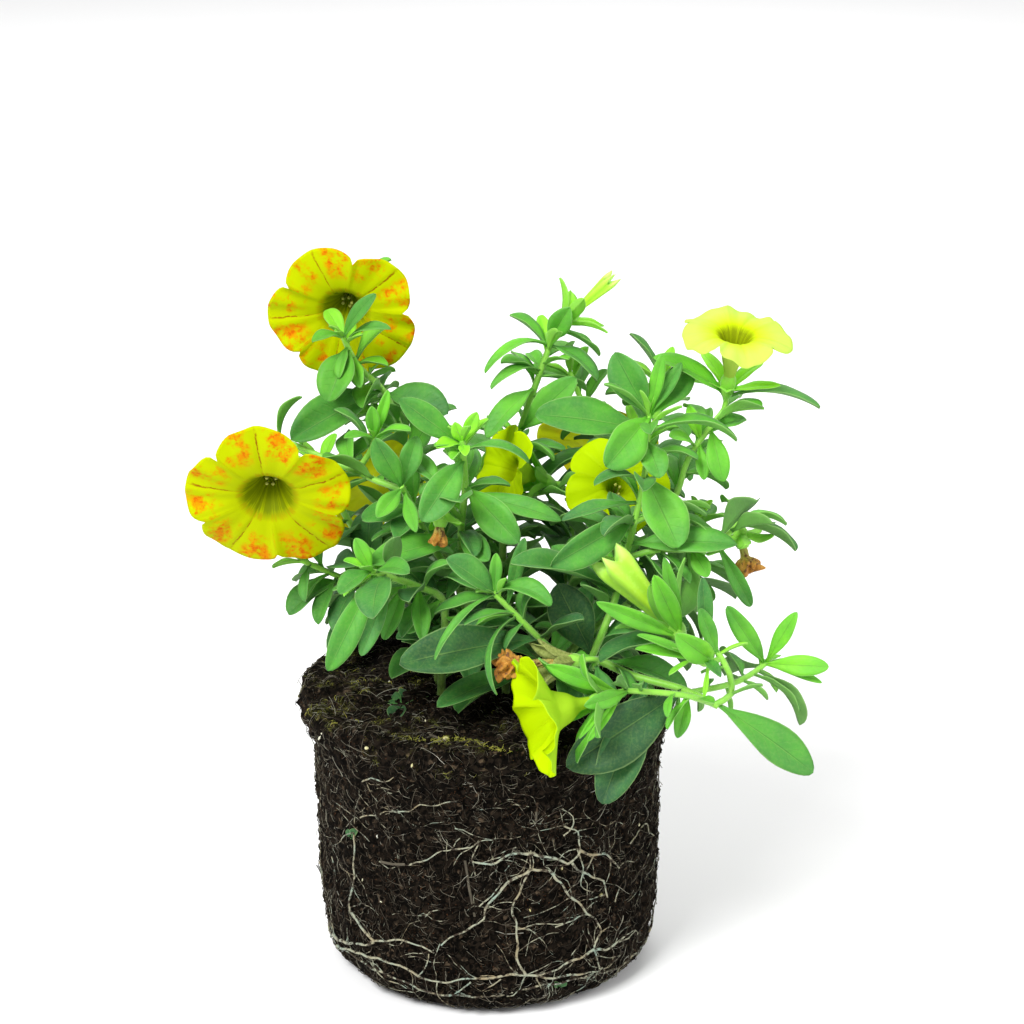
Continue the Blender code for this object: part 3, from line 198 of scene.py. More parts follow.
class Wire:
    """The output of a node. Sums with it add Math nodes to its tree, and Vector Math where it is a vector."""

    def __init__(self, tree, socket=None):
        self.tree = tree
        self.socket = socket

    def node(self, kind, settings=None, values=None, out=0):
        """A new node: its settings first, then the values of its sockets or the wires that lead there."""
        made = self.tree.nodes.new(kind)
        for name, value in (settings or {}).items():
            if name == "stops":
                ramp = made.color_ramp.elements
                for _ in range(len(value) - 2):
                    ramp.new(0.5)
                for stop, (place, colour) in zip(ramp, value):
                    stop.position = place
                for stop, (place, colour) in zip(ramp, value):
                    stop.color = (*colour, 1.0)
            else:
                setattr(made, name, value)
        for name, value in (values or {}).items():
            for one in value if isinstance(value, list) else [value]:
                if isinstance(one, Wire):
                    self.tree.links.new(one.socket, made.inputs[name])
                else:
                    made.inputs[name].default_value = one
        return Wire(self.tree, made.outputs[out])

    def work(self, operation, *values, out=0):
        kinds = {value.socket.type for value in values if isinstance(value, Wire)}
        if kinds & {"VECTOR", "RGBA"} or any(isinstance(value, tuple) for value in values):
            wide = [value if isinstance(value, (Wire, tuple)) else (value,) * 3 for value in values]
            return self.node("ShaderNodeVectorMath", {"operation": operation}, dict(enumerate(wide)), out)
        return self.node("ShaderNodeMath", {"operation": operation}, dict(enumerate(values)), out)

    def __add__(self, other):
        return self.work("ADD", self, other)

    __radd__ = __add__

    def __sub__(self, other):
        return self.work("SUBTRACT", self, other)

    def __rsub__(self, other):
        return self.work("SUBTRACT", other, self)

    def __mul__(self, other):
        return self.work("MULTIPLY", self, other)

    __rmul__ = __mul__

    def __truediv__(self, other):
        return self.work("DIVIDE", self, other)

    def __rtruediv__(self, other):
        return self.work("DIVIDE", other, self)

    def __pow__(self, other):
        return self.work("POWER", self, other)

    def __abs__(self):
        return self.work("ABSOLUTE", self)

    def ranged(self, low, high):
        """0 at low, 1 at high, smooth between."""
        settings = {"interpolation_type": "SMOOTHSTEP"}
        return self.node("ShaderNodeMapRange", settings, {"Value": self, "From Min": low, "From Max": high})

    def grain(self, size, detail=2.0, rough=0.5):
        """A cloudy pattern, 0 to 1, whose patches are about that many millimetres wide."""
        values = {"Vector": self, "Scale": 1.0 / (size * MM), "Detail": detail, "Roughness": rough}
        return self.node("ShaderNodeTexNoise", None, values)

    def blend(self, first, second, way="MIX"):
        """From the first colour to the second as this goes from 0 to 1."""
        ends = [value if isinstance(value, Wire) else (*value, 1.0) for value in (first, second)]
        settings = {"data_type": "RGBA", "blend_type": way}
        return self.node("ShaderNodeMix", settings, {0: self, 6: ends[0], 7: ends[1]}, 2)

    def ramp(self, *stops):
        return self.node("ShaderNodeValToRGB", {"stops": stops}, {"Fac": self})

    def bump(self, strength, distance):
        """The normal of a surface that rises where this is high, by distance in millimetres."""
        values = {"Height": self, "Strength": strength, "Distance": distance * MM}
        return self.node("ShaderNodeBump", None, values)


class Finish:
    """A material whose look is worked out with wires."""

    def __init__(self, name):
        self.material = bpy.data.materials.new(name)
        self.material.use_nodes = True
        self.tree = self.material.node_tree
        self.shader = self.tree.nodes["Principled BSDF"]
        self.pen = Wire(self.tree)
        self.place = self.pen.node("ShaderNodeTexCoord", out="Object")

    def read(self, name):
        """An attribute of the piece's own mesh."""
        return self.pen.node("ShaderNodeAttribute", {"attribute_name": name}, out="Fac")

    def wear(self, values, through=0.0):
        """Sets the shader. A thin blade lets through that share of the light behind it."""
        for name, value in values.items():
            if isinstance(value, Wire):
                self.tree.links.new(value.socket, self.shader.inputs[name])
            else:
                self.shader.inputs[name].default_value = value
        if through:
            back = self.pen.node("ShaderNodeBsdfTranslucent", None, {"Color": values["Base Color"]})
            front = Wire(self.tree, self.shader.outputs[0])
            both = self.pen.node("ShaderNodeMixShader", None, {0: through, 1: front, 2: back})
            self.tree.links.new(both.socket, self.tree.nodes["Material Output"].inputs["Surface"])
        return self.material


white = Finish("table_white")
shade = white.place.grain(400.0).ranged(0.2, 0.8).blend((0.86, 0.86, 0.86), (0.9, 0.9, 0.9))
white.wear({"Base Color": shade, "Roughness": 0.9})
half = TABLE_SIDE / 2.0
plate = bpy.data.meshes.new("table")
corners = [(-half, -half, 0), (half, -half, 0), (half, half, 0), (-half, half, 0)]
plate.from_pydata(corners, [], [(0, 1, 2, 3)])
plate.materials.append(white.material)
table = placed("table", plate)
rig.stage(table)

# The ball of peat.
# Dark, moist peat in the shape of the pot that it grew in, with a brim and a flat foot. Rooting has bound it
# into one crumbly lump; a ring of light moss and a small hollow show on its top at the front.
BALL_SHIFT = 1.0
BALL_PROFILE = (
    (0.0, 33.5),
    (1.8, 37.8),
    (5.5, 40.5),
    (14.0, 41.9),
    (36.0, 42.2),
    (59.0, 43.1),
    (65.5, 45.3),
    (70.0, 46.4),
    (73.0, 45.0),
)
BALL_RIM = BALL_HEIGHT * 0.974
BALL_SIDES = 330
BALL_RINGS = 86
TOP_RADIUS = 44.6
TOP_RINGS = 44
HOLLOW = seen(402, 697, -37)


def ball_radius(angle, height):
    """The ball's radius at an angle round it and a height."""
    for (low, narrow), (high, wide) in zip(BALL_PROFILE, BALL_PROFILE[1:]):
        if height <= high:
            radius = narrow + (wide - narrow) * (height - low) / (high - low)
            break
    else:
        radius = BALL_PROFILE[-1][1]
    return radius * (1.0 + 0.008 * math.sin(2.0 * angle + 1.0) + 0.006 * math.sin(3.0 * angle))


def ball_point(angle, height, out=0.0):
    """A point on the ball's side, or out from it."""
    radius = ball_radius(angle, height) + out
    shift = BALL_SHIFT * max(0.0, 1.0 - height / BALL_HEIGHT)
    return Vector((shift + radius * math.cos(angle), radius * math.sin(angle), height))


def top_height(x, y):
    """The uneven top of the peat, with low waves across it."""
    return 73.2 + 0.7 * math.sin(x / 6.0 + 1.0) * math.cos(y / 7.0) + 0.4 * math.sin((x + 2.0 * y) / 9.0)


def turns(count):
    """Angles round a full turn, in equal steps."""
    return [2.0 * math.pi * k / count for k in range(count)]


def skin(name, rings, finish=None):
    """A closed mesh through rings of points in millimetres. A ring of one point closes an end."""
    points = [point * MM for ring in rings for point in ring]
    starts = [0]
    for ring in rings:
        starts.append(starts[-1] + len(ring))
    faces = []
    for i, (low, high) in enumerate(zip(rings, rings[1:])):
        a, b, count = starts[i], starts[i + 1], max(len(low), len(high))
        for j in range(count):
            k = (j + 1) % count
            if len(low) == 1:
                faces.append((a, b + k, b + j))
            elif len(high) == 1:
                faces.append((a + j, a + k, b))
            else:
                faces.append((a + j, a + k, b + k, b + j))
    if len(rings[0]) > 1:
        faces.append(tuple(range(starts[1]))[::-1])
    if len(rings[-1]) > 1:
        faces.append(tuple(range(starts[-2], starts[-1])))
    mesh = bpy.data.meshes.new(name)
    mesh.from_pydata(points, [], faces)
    mesh.shade_smooth()
    if finish:
        mesh.materials.append(finish)
    return mesh


def ruled(name, **sizes):
    """A new tree of geometry nodes, and wires from its inputs: the mesh that it starts from and its sizes."""
    tree = bpy.data.node_groups.new(name, "GeometryNodeTree")
    tree.interface.new_socket("Source", in_out="INPUT", socket_type="NodeSocketGeometry")
    for size, kind in sizes.items():
        tree.interface.new_socket(size, in_out="INPUT", socket_type="NodeSocket" + kind)
    tree.interface.new_socket("Mesh", in_out="OUTPUT", socket_type="NodeSocketGeometry")
    start = tree.nodes.new("NodeGroupInput")
    return {socket.name: Wire(tree, socket) for socket in start.outputs if socket.name}


def closed(shape, finish):
    """Ends a tree: real faces, smooth, in one material."""
    real = shape.node("GeometryNodeRealizeInstances", None, {"Geometry": shape})
    even = real.node("GeometryNodeSetShadeSmooth", None, {"Geometry": real})
    worn = even.node("GeometryNodeSetMaterial", None, {"Geometry": even, "Material": finish})
    end = shape.tree.nodes.new("NodeGroupOutput")
    shape.tree.links.new(worn.socket, end.inputs[0])
    return shape.tree


def grown(name, mesh, tree, **sizes):
    """The plain mesh that a tree makes of this one, as a new piece."""
    thing = placed(name, mesh)
    rule = thing.modifiers.new("rule", "NODES")
    rule.node_group = tree
    for socket in tree.interface.items_tree:
        if socket.in_out == "INPUT" and socket.name in sizes:
            rule[socket.identifier] = sizes[socket.name]
    graph = bpy.context.evaluated_depsgraph_get()
    thing.data = bpy.data.meshes.new_from_object(thing.evaluated_get(graph))
    thing.modifiers.clear()
    thing.data.name = name
    return thing


def fixed(thing, slot, *nodes):
    """The piece stands on the plant's one body, in the record's finish, in place of these nodes."""
    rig.ride(thing, "root")
    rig.slot(thing, slot)
    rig.replaces(thing, *nodes)


peat = Finish("peat_moist")
cloud = peat.place.grain(9.0, 4.0, 0.6)
crumb = peat.place.grain(1.1, 5.0, 0.7)
fleck = peat.place.grain(0.5, 3.0, 0.6)
height = peat.place.node("ShaderNodeSeparateXYZ", None, {0: peat.place}, "Z")
brown = crumb.ramp(
    (0.36, (0.0008, 0.0007, 0.0006)),
    (0.54, (0.004, 0.0032, 0.0023)),
    (0.72, (0.028, 0.02, 0.013)),
)
bits = peat.place + peat.place.grain(2.0).blend((-0.001, -0.001, -0.001), (0.001, 0.001, 0.001))
bit = peat.place.node("ShaderNodeTexVoronoi", None, {"Vector": bits, "Scale": 900.0}, "Color")
kind = bit.node("ShaderNodeSeparateColor", None, {0: bit})
brown = (kind.ranged(0.6, 0.8) * 0.6).blend(brown, (0.018, 0.013, 0.009))
brown = (kind.ranged(0.92, 0.96) * crumb.ranged(0.45, 0.6)).blend(brown, (0.07, 0.05, 0.032))
rusty = (fleck.ranged(0.62, 0.72) * cloud.ranged(0.45, 0.6)).blend(brown, (0.1, 0.045, 0.02))
brim = height.ranged(0.0665, 0.0715) * peat.place.grain(7.0, 5.0, 0.75).ranged(0.52, 0.66)
brim = brim * fleck.ranged(0.4, 0.6)
mossy = (brim * 0.8).blend(rusty, crumb.ramp((0.35, (0.03, 0.028, 0.006)), (0.7, (0.17, 0.17, 0.04))))
rise = crumb + fleck * 0.5
values = {"Base Color": mossy, "Roughness": 0.82 + crumb * 0.15, "Normal": rise.bump(0.8, 0.5)}
peat.wear({**values, "Specular IOR Level": 0.03})

given = ruled("peat_crumbs", Lumps="Float", Crumbs="Float", Hollow="Vector", Material="Material")
shape = given["Source"]
place = shape.node("GeometryNodeInputPosition")
normal = shape.node("GeometryNodeInputNormal")
height = shape.node("ShaderNodeSeparateXYZ", None, {0: place}, "Z")
values = {"Vector": place, "Scale": 360.0, "Smoothness": 0.3}
cell = shape.node("ShaderNodeTexVoronoi", {"feature": "SMOOTH_F1"}, values)
lumps = (place.grain(11.0, 3.0) - 0.5) * given["Lumps"] * 2.0
crumbs = (0.5 - cell + (place.grain(2.2, 4.0, 0.7) - 0.5) * 1.8) * given["Crumbs"]
dent = place.work("DISTANCE", place, given["Hollow"], out=1).ranged(0.008, 0.001) * 0.004
moved = normal * ((lumps + crumbs) * height.ranged(0.0005, 0.005)) - (0.0, 0.0, 1.0) * dent
shape = shape.node("GeometryNodeSetPosition", None, {"Geometry": shape, "Offset": moved})
peat_tree = closed(shape, given["Material"])

heights = [BALL_RIM * k / BALL_RINGS for k in range(BALL_RINGS + 1)]
angles = turns(BALL_SIDES)
rings = [[ball_point(angle, height) for angle in angles] for height in heights]
for k in range(1, TOP_RINGS):
    part = 1.0 - k / TOP_RINGS
    rings.append([])
    for angle in angles:
        x, y = math.cos(angle) * TOP_RADIUS * part, math.sin(angle) * TOP_RADIUS * part
        rings[-1].append(Vector((x, y, top_height(x, y))))
rings.append([Vector((0.0, 0.0, top_height(0.0, 0.0)))])
values = {"Lumps": 2.2 * MM, "Crumbs": 1.7 * MM, "Hollow": HOLLOW * MM, "Material": peat.material}
ball = grown("peat_ball", skin("ball_form", rings), peat_tree, **values)
fixed(ball, "peat", "root_ball")

# Fibres and moss on the ball.
# Peat is shredded moss and sedge: thousands of thin fibres lie matted all over the ball, most brown, some
# pale, with their ends sunk in it. Dull moss grows on the brim, in patches of short curled sprigs.
FIBRES = (
    # Name, fibres to a square metre, length and thickness in millimetres, bends, seed, darkest and palest
    # tone, and the share of the ball that stays bare.
    ("peat_fibres_dark", 180000.0, 4.2, 0.11, 3, 3, 0.0, 0.55, 0.0),
    ("peat_fibres_pale", 300000.0, 3.2, 0.075, 3, 8, 0.3, 0.85, 0.45),
    ("peat_fibres_long", 32000.0, 7.5, 0.095, 6, 14, 0.3, 0.9, 0.0),
)
# The same for the sprigs of moss.
MOSS = ("moss_sprigs", 900000.0, 2.0, 0.09, 2, 21, 0.0, 1.0, 0.585)
# How high each arches, how much it wiggles and the lowest that it grows, in millimetres.
FIBRE_LAY = (0.3, 0.8, 1.2)
MOSS_LAY = (0.7, 1.2, 67.5)

fibre = Finish("peat_fibre")
tone = fibre.read("tone") + (fibre.place.grain(3.0) - 0.5) * 0.3 + (fibre.place.grain(14.0, 3.0) - 0.5) * 0.7
colours = tone.ramp(
    (0.0, (0.012, 0.008, 0.005)),
    (0.35, (0.04, 0.034, 0.024)),
    (0.62, (0.115, 0.1, 0.072)),
    (0.85, (0.27, 0.26, 0.2)),
    (1.0, (0.5, 0.5, 0.43)),
)
fibre.wear({"Base Color": colours, "Roughness": 0.75, "Specular IOR Level": 0.12})


def strewn(surface, density, seed, where=True):
    """Points scattered over a surface, so many to a square metre, and the way that it faces at each."""
    values = {"Mesh": surface, "Density": density, "Seed": seed, "Selection": where}
    points = surface.node("GeometryNodeDistributePointsOnFaces", None, values)
    return points, Wire(points.tree, points.socket.node.outputs["Rotation"])


def above(surface, lowest):
    """True where a surface lies higher than this."""
    place = surface.node("GeometryNodeInputPosition")
    height = surface.node("ShaderNodeSeparateXYZ", None, {0: place}, "Z")
    return surface.node("FunctionNodeCompare", {"operation": "GREATER_THAN"}, {0: height, 1: lowest})


def drawn(pen, low, high, seed):
    """A random number for each item, or a random vector between two vectors."""
    if isinstance(low, tuple):
        return pen.node("FunctionNodeRandomValue", {"data_type": "FLOAT_VECTOR"}, {0: low, 1: high, 8: seed})
    return pen.node("FunctionNodeRandomValue", {"data_type": "FLOAT"}, {2: low, 3: high, 8: seed}, 1)


def kept(shape, name, value, domain):
    """The shape with a number stored on it, for its material."""
    values = {"Geometry": shape, "Name": name, "Value": value}
    settings = {"data_type": "FLOAT", "domain": domain}
    return shape.node("GeometryNodeStoreNamedAttribute", settings, values)


numbers = ("Density", "Length", "Thickness", "Rise", "Wiggle", "Darkest", "Palest", "Lowest", "Bare")
sizes = dict.fromkeys(numbers, "Float")
given = ruled("strewn_fibres", **sizes, Bends="Int", Seed="Int", Material="Material")
shape = given["Source"]
cloud = shape.node("GeometryNodeInputPosition").grain(7.0, 4.0, 0.7)
grows = cloud.node("FunctionNodeCompare", {"operation": "GREATER_THAN"}, {0: cloud, 1: given["Bare"]})
high = above(shape, given["Lowest"])
picked = high.node("FunctionNodeBooleanMath", {"operation": "AND"}, {0: high, 1: grows})
points, upright = strewn(shape, given["Density"], given["Seed"], picked)
values = {"Axis": (0.0, 0.0, 1.0), "Angle": drawn(shape, 0.0, 2.0 * math.pi, 1)}
spin = shape.node("FunctionNodeAxisAngleToRotation", None, values)
turned = shape.node("FunctionNodeRotateRotation", {"rotation_space": "LOCAL"}, {0: upright, 1: spin})
ends = {
    "Resolution": given["Bends"],
    "Start": shape.node("ShaderNodeCombineXYZ", None, {0: given["Length"] * -0.5, 2: given["Rise"] * -0.8}),
    "Middle": shape.node("ShaderNodeCombineXYZ", None, {1: given["Length"] * 0.25, 2: given["Rise"] * 2.2}),
    "End": shape.node("ShaderNodeCombineXYZ", None, {0: given["Length"] * 0.5, 2: given["Rise"] * -0.8}),
}
bow = shape.node("GeometryNodeCurveQuadraticBezier", None, ends)
ring = shape.node("GeometryNodeCurvePrimitiveCircle", None, {"Resolution": 3, "Radius": given["Thickness"]})
straw = shape.node("GeometryNodeCurveToMesh", None, {"Curve": bow, "Profile Curve": ring, "Fill Caps": True})
values = {0: drawn(shape, 0.3, 1.25, 2), 1: drawn(shape, -0.7, 0.7, 3), 2: 1.0}
sizes = shape.node("ShaderNodeCombineXYZ", None, values)
values = {"Points": points, "Instance": straw, "Rotation": turned, "Scale": sizes}
straws = shape.node("GeometryNodeInstanceOnPoints", None, values)
straws = kept(straws, "tone", drawn(shape, given["Darkest"], given["Palest"], 4), "INSTANCE")
straws = straws.node("GeometryNodeRealizeInstances", None, {"Geometry": straws})
place = straws.node("GeometryNodeInputPosition")
swirl = place.node("ShaderNodeTexNoise", None, {"Vector": place, "Scale": 330.0, "Detail": 1.0}, "Color")
moved = (swirl - 0.5) * given["Wiggle"] * 2.0
straws = straws.node("GeometryNodeSetPosition", None, {"Geometry": straws, "Offset": moved})
fibre_tree = closed(straws, given["Material"])

moss = Finish("moss_dull")
colours = moss.read("tone").ramp(
    (0.0, (0.03, 0.035, 0.008)),
    (0.5, (0.12, 0.13, 0.02)),
    (0.85, (0.3, 0.3, 0.04)),
    (1.0, (0.5, 0.45, 0.08)),
)
moss.wear({"Base Color": colours, "Roughness": 0.7}, through=0.2)

for row in (*FIBRES, MOSS):
    name, density, length, thick, bends, seed, darkest, palest, bare = row
    rise, wiggle, lowest = MOSS_LAY if row is MOSS else FIBRE_LAY
    finish = moss if row is MOSS else fibre
    values = {"Density": density, "Bends": bends, "Seed": seed, "Darkest": darkest, "Palest": palest}
    values |= {"Length": length * MM, "Thickness": thick * MM, "Rise": rise * MM, "Wiggle": wiggle * MM}
    values |= {"Lowest": lowest * MM, "Bare": bare, "Material": finish.material}
    mat = grown(name, ball.data.copy(), fibre_tree, **values)
    fixed(mat, "peat", "root_ball")

# Crumbs and grains on the ball.
# Loose crumbs of peat and bark stick to it everywhere, with a few pale grains of perlite and slow plant food.
# Each is a small lump, sunk in the peat by a third.
CRUMBS = (  # name, crumbs to a square metre, radius in millimetres, darkest, palest, seed
    ("peat_crumbs_dark", 56000.0, 0.55, 0.0, 0.5, 31),
    ("peat_grains_pale", 1300.0, 0.6, 0.8, 1.0, 37),
)

bark = Finish("crumb_bark")
tone = bark.read("tone") + (bark.place.grain(0.8, 3.0) - 0.5) * 0.2
colours = tone.ramp(
    (0.0, (0.003, 0.0026, 0.002)),
    (0.4, (0.019, 0.014, 0.01)),
    (0.65, (0.06, 0.038, 0.022)),
    (0.85, (0.5, 0.46, 0.2)),
    (1.0, (0.72, 0.72, 0.6)),
)
bark.wear({"Base Color": colours, "Roughness": 0.8, "Specular IOR Level": 0.05})

sizes = dict.fromkeys(("Density", "Radius", "Darkest", "Palest"), "Float")
given = ruled("stuck_crumbs", **sizes, Seed="Int", Material="Material")
shape = given["Source"]
points, _ = strewn(shape, given["Density"], given["Seed"], above(shape, 1.5 * MM))
lump = shape.node("GeometryNodeMeshIcoSphere", None, {"Radius": given["Radius"], "Subdivisions": 1})
turned = drawn(points, (0.0, 0.0, 0.0), (6.28, 6.28, 6.28), 2)
sizes = drawn(points, (0.2, 0.2, 0.2), (1.5, 0.9, 0.6), 6)
values = {"Points": points, "Instance": lump, "Rotation": turned, "Scale": sizes}
lumps = points.node("GeometryNodeInstanceOnPoints", None, values)
lumps = kept(lumps, "tone", drawn(points, given["Darkest"], given["Palest"], 4), "INSTANCE")
crumb_tree = closed(lumps, given["Material"])

for name, density, radius, darkest, palest, seed in CRUMBS:
    values = {"Density": density, "Radius": radius * MM, "Darkest": darkest, "Palest": palest, "Seed": seed}
    crumbs = grown(name, ball.data.copy(), crumb_tree, Material=bark.material, **values)
    fixed(crumbs, "peat", "root_ball")

# Where each bloom sits.
# Every bloom, bud and withered bloom is seated in the calyx at the end of its stalk. Its place is its
# middle, the way it faces, its radius and the length of its tube.


class Bloom:
    """A corolla, a bud or a withered corolla: where its foot sits, and the way it faces."""

    def __init__(self, name, centre, axis, radius, tube_long, roll, kind="open"):
        self.name = name
        self.axis = axis.normalized()
        self.foot = centre - self.axis * tube_long
        self.radius = radius
        self.tube_long = tube_long
        self.kind = kind
        side = Vector((0.0, 0.0, 1.0)).cross(self.axis)
        side = side if side.length > 0.3 else Vector((1.0, 0.0, 0.0))
        side = (side - self.axis * side.dot(self.axis)).normalized()
        self.across = Matrix.Rotation(roll, 3, self.axis) @ side
        self.other = self.axis.cross(self.across)

    def out(self, angle):
        """The way out from its axis at an angle round it."""
        return self.across * math.cos(angle) + self.other * math.sin(angle)


blooms = [
    Bloom("bloom_front", seen(532, 722, -54), Vector((-0.88, -0.45, -0.12)), 15.8, 19.0, 0.3),
    Bloom("bloom_right", seen(736, 333, -6), Vector((0.10, -0.20, 0.97)), 13.4, 15.0, 0.5),
    Bloom("bloom_left", seen(267, 494, -14), Vector((-0.05, -0.96, -0.26)), 20.5, 18.0, 0.0),
    Bloom("bloom_back_left", seen(343, 316, 22), Vector((-0.10, -0.97, -0.20)), 18.5, 17.0, 0.1),
    Bloom("bloom_back_middle", seen(500, 466, 12), Vector((-0.80, -0.42, 0.42)), 11.5, 14.0, 0.2),
    Bloom("bloom_back_right", seen(618, 482, 6), Vector((0.10, -0.72, 0.66)), 13.0, 14.0, 0.4),
    Bloom("bloom_rear_left", Vector((-30.0, 54.0, 108.0)), Vector((-0.45, 0.80, 0.36)), 17.0, 17.0, 0.3),
    Bloom("bloom_rear_right", Vector((30.0, 58.0, 116.0)), Vector((0.25, 0.80, 0.50)), 16.5, 17.0, 0.7),
    Bloom("bud_front", seen(604, 551, -26), Vector((-0.66, 0.10, 0.74)), 5.0, 26.0, 0.0, "bud"),
    Bloom("bud_back", seen(617, 275, 26), Vector((0.74, 0.0, 0.68)), 2.0, 17.0, 0.0, "bud"),
    Bloom("spent_front", seen(497, 667, -35), Vector((-0.98, -0.2, 0.0)), 2.9, 18.5, 0.0, "spent"),
    Bloom("spent_left", seen(438, 544, -16), Vector((-0.1, -0.35, -0.93)), 2.4, 7.5, 0.0, "spent"),
    Bloom("spent_right", seen(748, 572, -10), Vector((0.2, -0.2, -0.95)), 2.8, 9.5, 0.0, "spent"),
]
by_name = {bloom.name: bloom for bloom in blooms}

# The leafy stems.
# Soft green stems, 2 mm thick, covered with fine hairs, that stand in the peat and branch. Each grows its
# leaves in pairs and a tuft at its tip, and ends in a stalk with a calyx of five slender sepals.
STEM_RADIUS = 1.15
SHOOT_RADIUS = 0.8
STEM_STEP = 2.5
CAD_STEP = 16.0
HOLE_DEPTH = 7.6
LEAF_SPREAD = 62.0
SEPALS = 5
SEPAL_WIDE = 2.1
FOUND_WITHIN = 0.1  # of a corner of the solid
STRAIGHT_UP = 3.0
LEAF_WIDER = 1.1  # than the solid's
SEPAL_WIDER = 1.7
BROAD_SEPAL_WIDER = 2.3
TUFT_LEANS = (46.0, 20.0)
TUFT_TURN = 2.4
TUFT_DROOP = 25.0
SKY = Vector((0.0, -0.25, 0.97))
HALF = Vector((0.0, -0.65, 0.76))
FRONT = Vector((0.0, -0.94, 0.34))
SET_TRIES = (
    *((0, 0, 1), (0, 7, 1), (0, -7, 1), (8, 0, 1), (-8, 0, 1), (8, 10, 1), (-8, 10, 1), (0, 16, 1)),
    *((15, 5, 0.95), (-15, 5, 0.95), (0, 25, 0.9), (20, 15, 0.9), (-20, 15, 0.9)),
    *((0, 35, 0.85), (30, 20, 0.8), (-30, 20, 0.8)),
)
FREE_TRIES = (
    *((0, 0, 1), (12, 0, 1), (-12, 0, 1), (0, 12, 1), (0, -12, 1), (25, 8, 1), (-25, 8, 1), (0, 25, 0.9)),
    *((40, 0, 0.85), (-40, 0, 0.85), (55, 15, 0.8), (-55, 15, 0.8), (0, 40, 0.7), (20, 30, 0.65)),
)


def solid(x, y, z):
    """A point of the stems that aren't seen, from its own place."""
    return Vector((x, y, z))


def smooth(points, step=CAD_STEP):
    """Points a step apart on one smooth curve through the given points."""
    padded = [points[0] * 2.0 - points[1], *points, points[-1] * 2.0 - points[-2]]
    curve = [points[0]]
    for before, start, end, after in zip(padded, padded[1:], padded[2:], padded[3:]):
        count = max(1, round((end - start).length / step))
        out, into = (end - before) / 2.0, (after - start) / 2.0
        for i in range(1, count + 1):
            t = i / count
            curve.append(
                start * (2 * t**3 - 3 * t**2 + 1)
                + out * (t**3 - 2 * t**2 + t)
                + end * (3 * t**2 - 2 * t**3)
                + into * (t**3 - t**2)
            )
    return curve


def directions(route):
    """The way a route runs at each of its points."""
    ends = zip([route[0], *route[:-1]], [*route[1:], route[-1]])
    return [(after - before).normalized() for before, after in ends]


def measured(route):
    """How far along a route each of its points lies."""
    lengths = [0.0]
    for start, end in zip(route, route[1:]):
        lengths.append(lengths[-1] + (end - start).length)
    return lengths


def part_at(lengths, along):
    """The part of a route that is reached so far along it, and the share of that part which is passed."""
    i = max(k for k, reached in enumerate(lengths[:-1]) if reached <= along)
    return i, (along - lengths[i]) / (lengths[i + 1] - lengths[i])


class Blade:
    """A leaf or a sepal. It leaves its stem at root, and bends by droop from there to its tip."""

    def __init__(self, root, forward, up, long, wide, droop, axis, fold=0.16, sepal=False, young=False):
        self.root = root
        self.forward = forward.normalized()
        self.side = self.forward.cross(up).normalized()
        self.up = self.side.cross(self.forward)
        self.long = long
        self.wide = wide
        self.droop = droop
        self.axis = axis
        self.fold = fold
        self.sepal = sepal
        self.young = young
        self.dry = 0.0
        self.spread = SEPAL_WIDER if sepal else LEAF_WIDER

    def at(self, share):
        """The point of its middle line that far from its root, 0, to its tip, 1."""
        turn = self.droop * share
        ahead, down = math.sin(turn) / self.droop, (1.0 - math.cos(turn)) / self.droop
        return self.root + (self.forward * ahead - self.up * down) * self.long

    def moved(self, turn, lift, scale):
        """The same blade turned about its stem, lifted and made smaller."""
        about = Matrix.Rotation(math.radians(turn), 3, self.axis)
        raised = Matrix.Rotation(math.radians(lift), 3, about @ self.side)
        forward = raised @ (about @ self.forward)
        up = raised @ (about @ self.up)
        rest = (self.droop, self.axis, self.fold, self.sepal, self.young)
        return Blade(self.root, forward, up, self.long * scale, self.wide * scale, *rest)


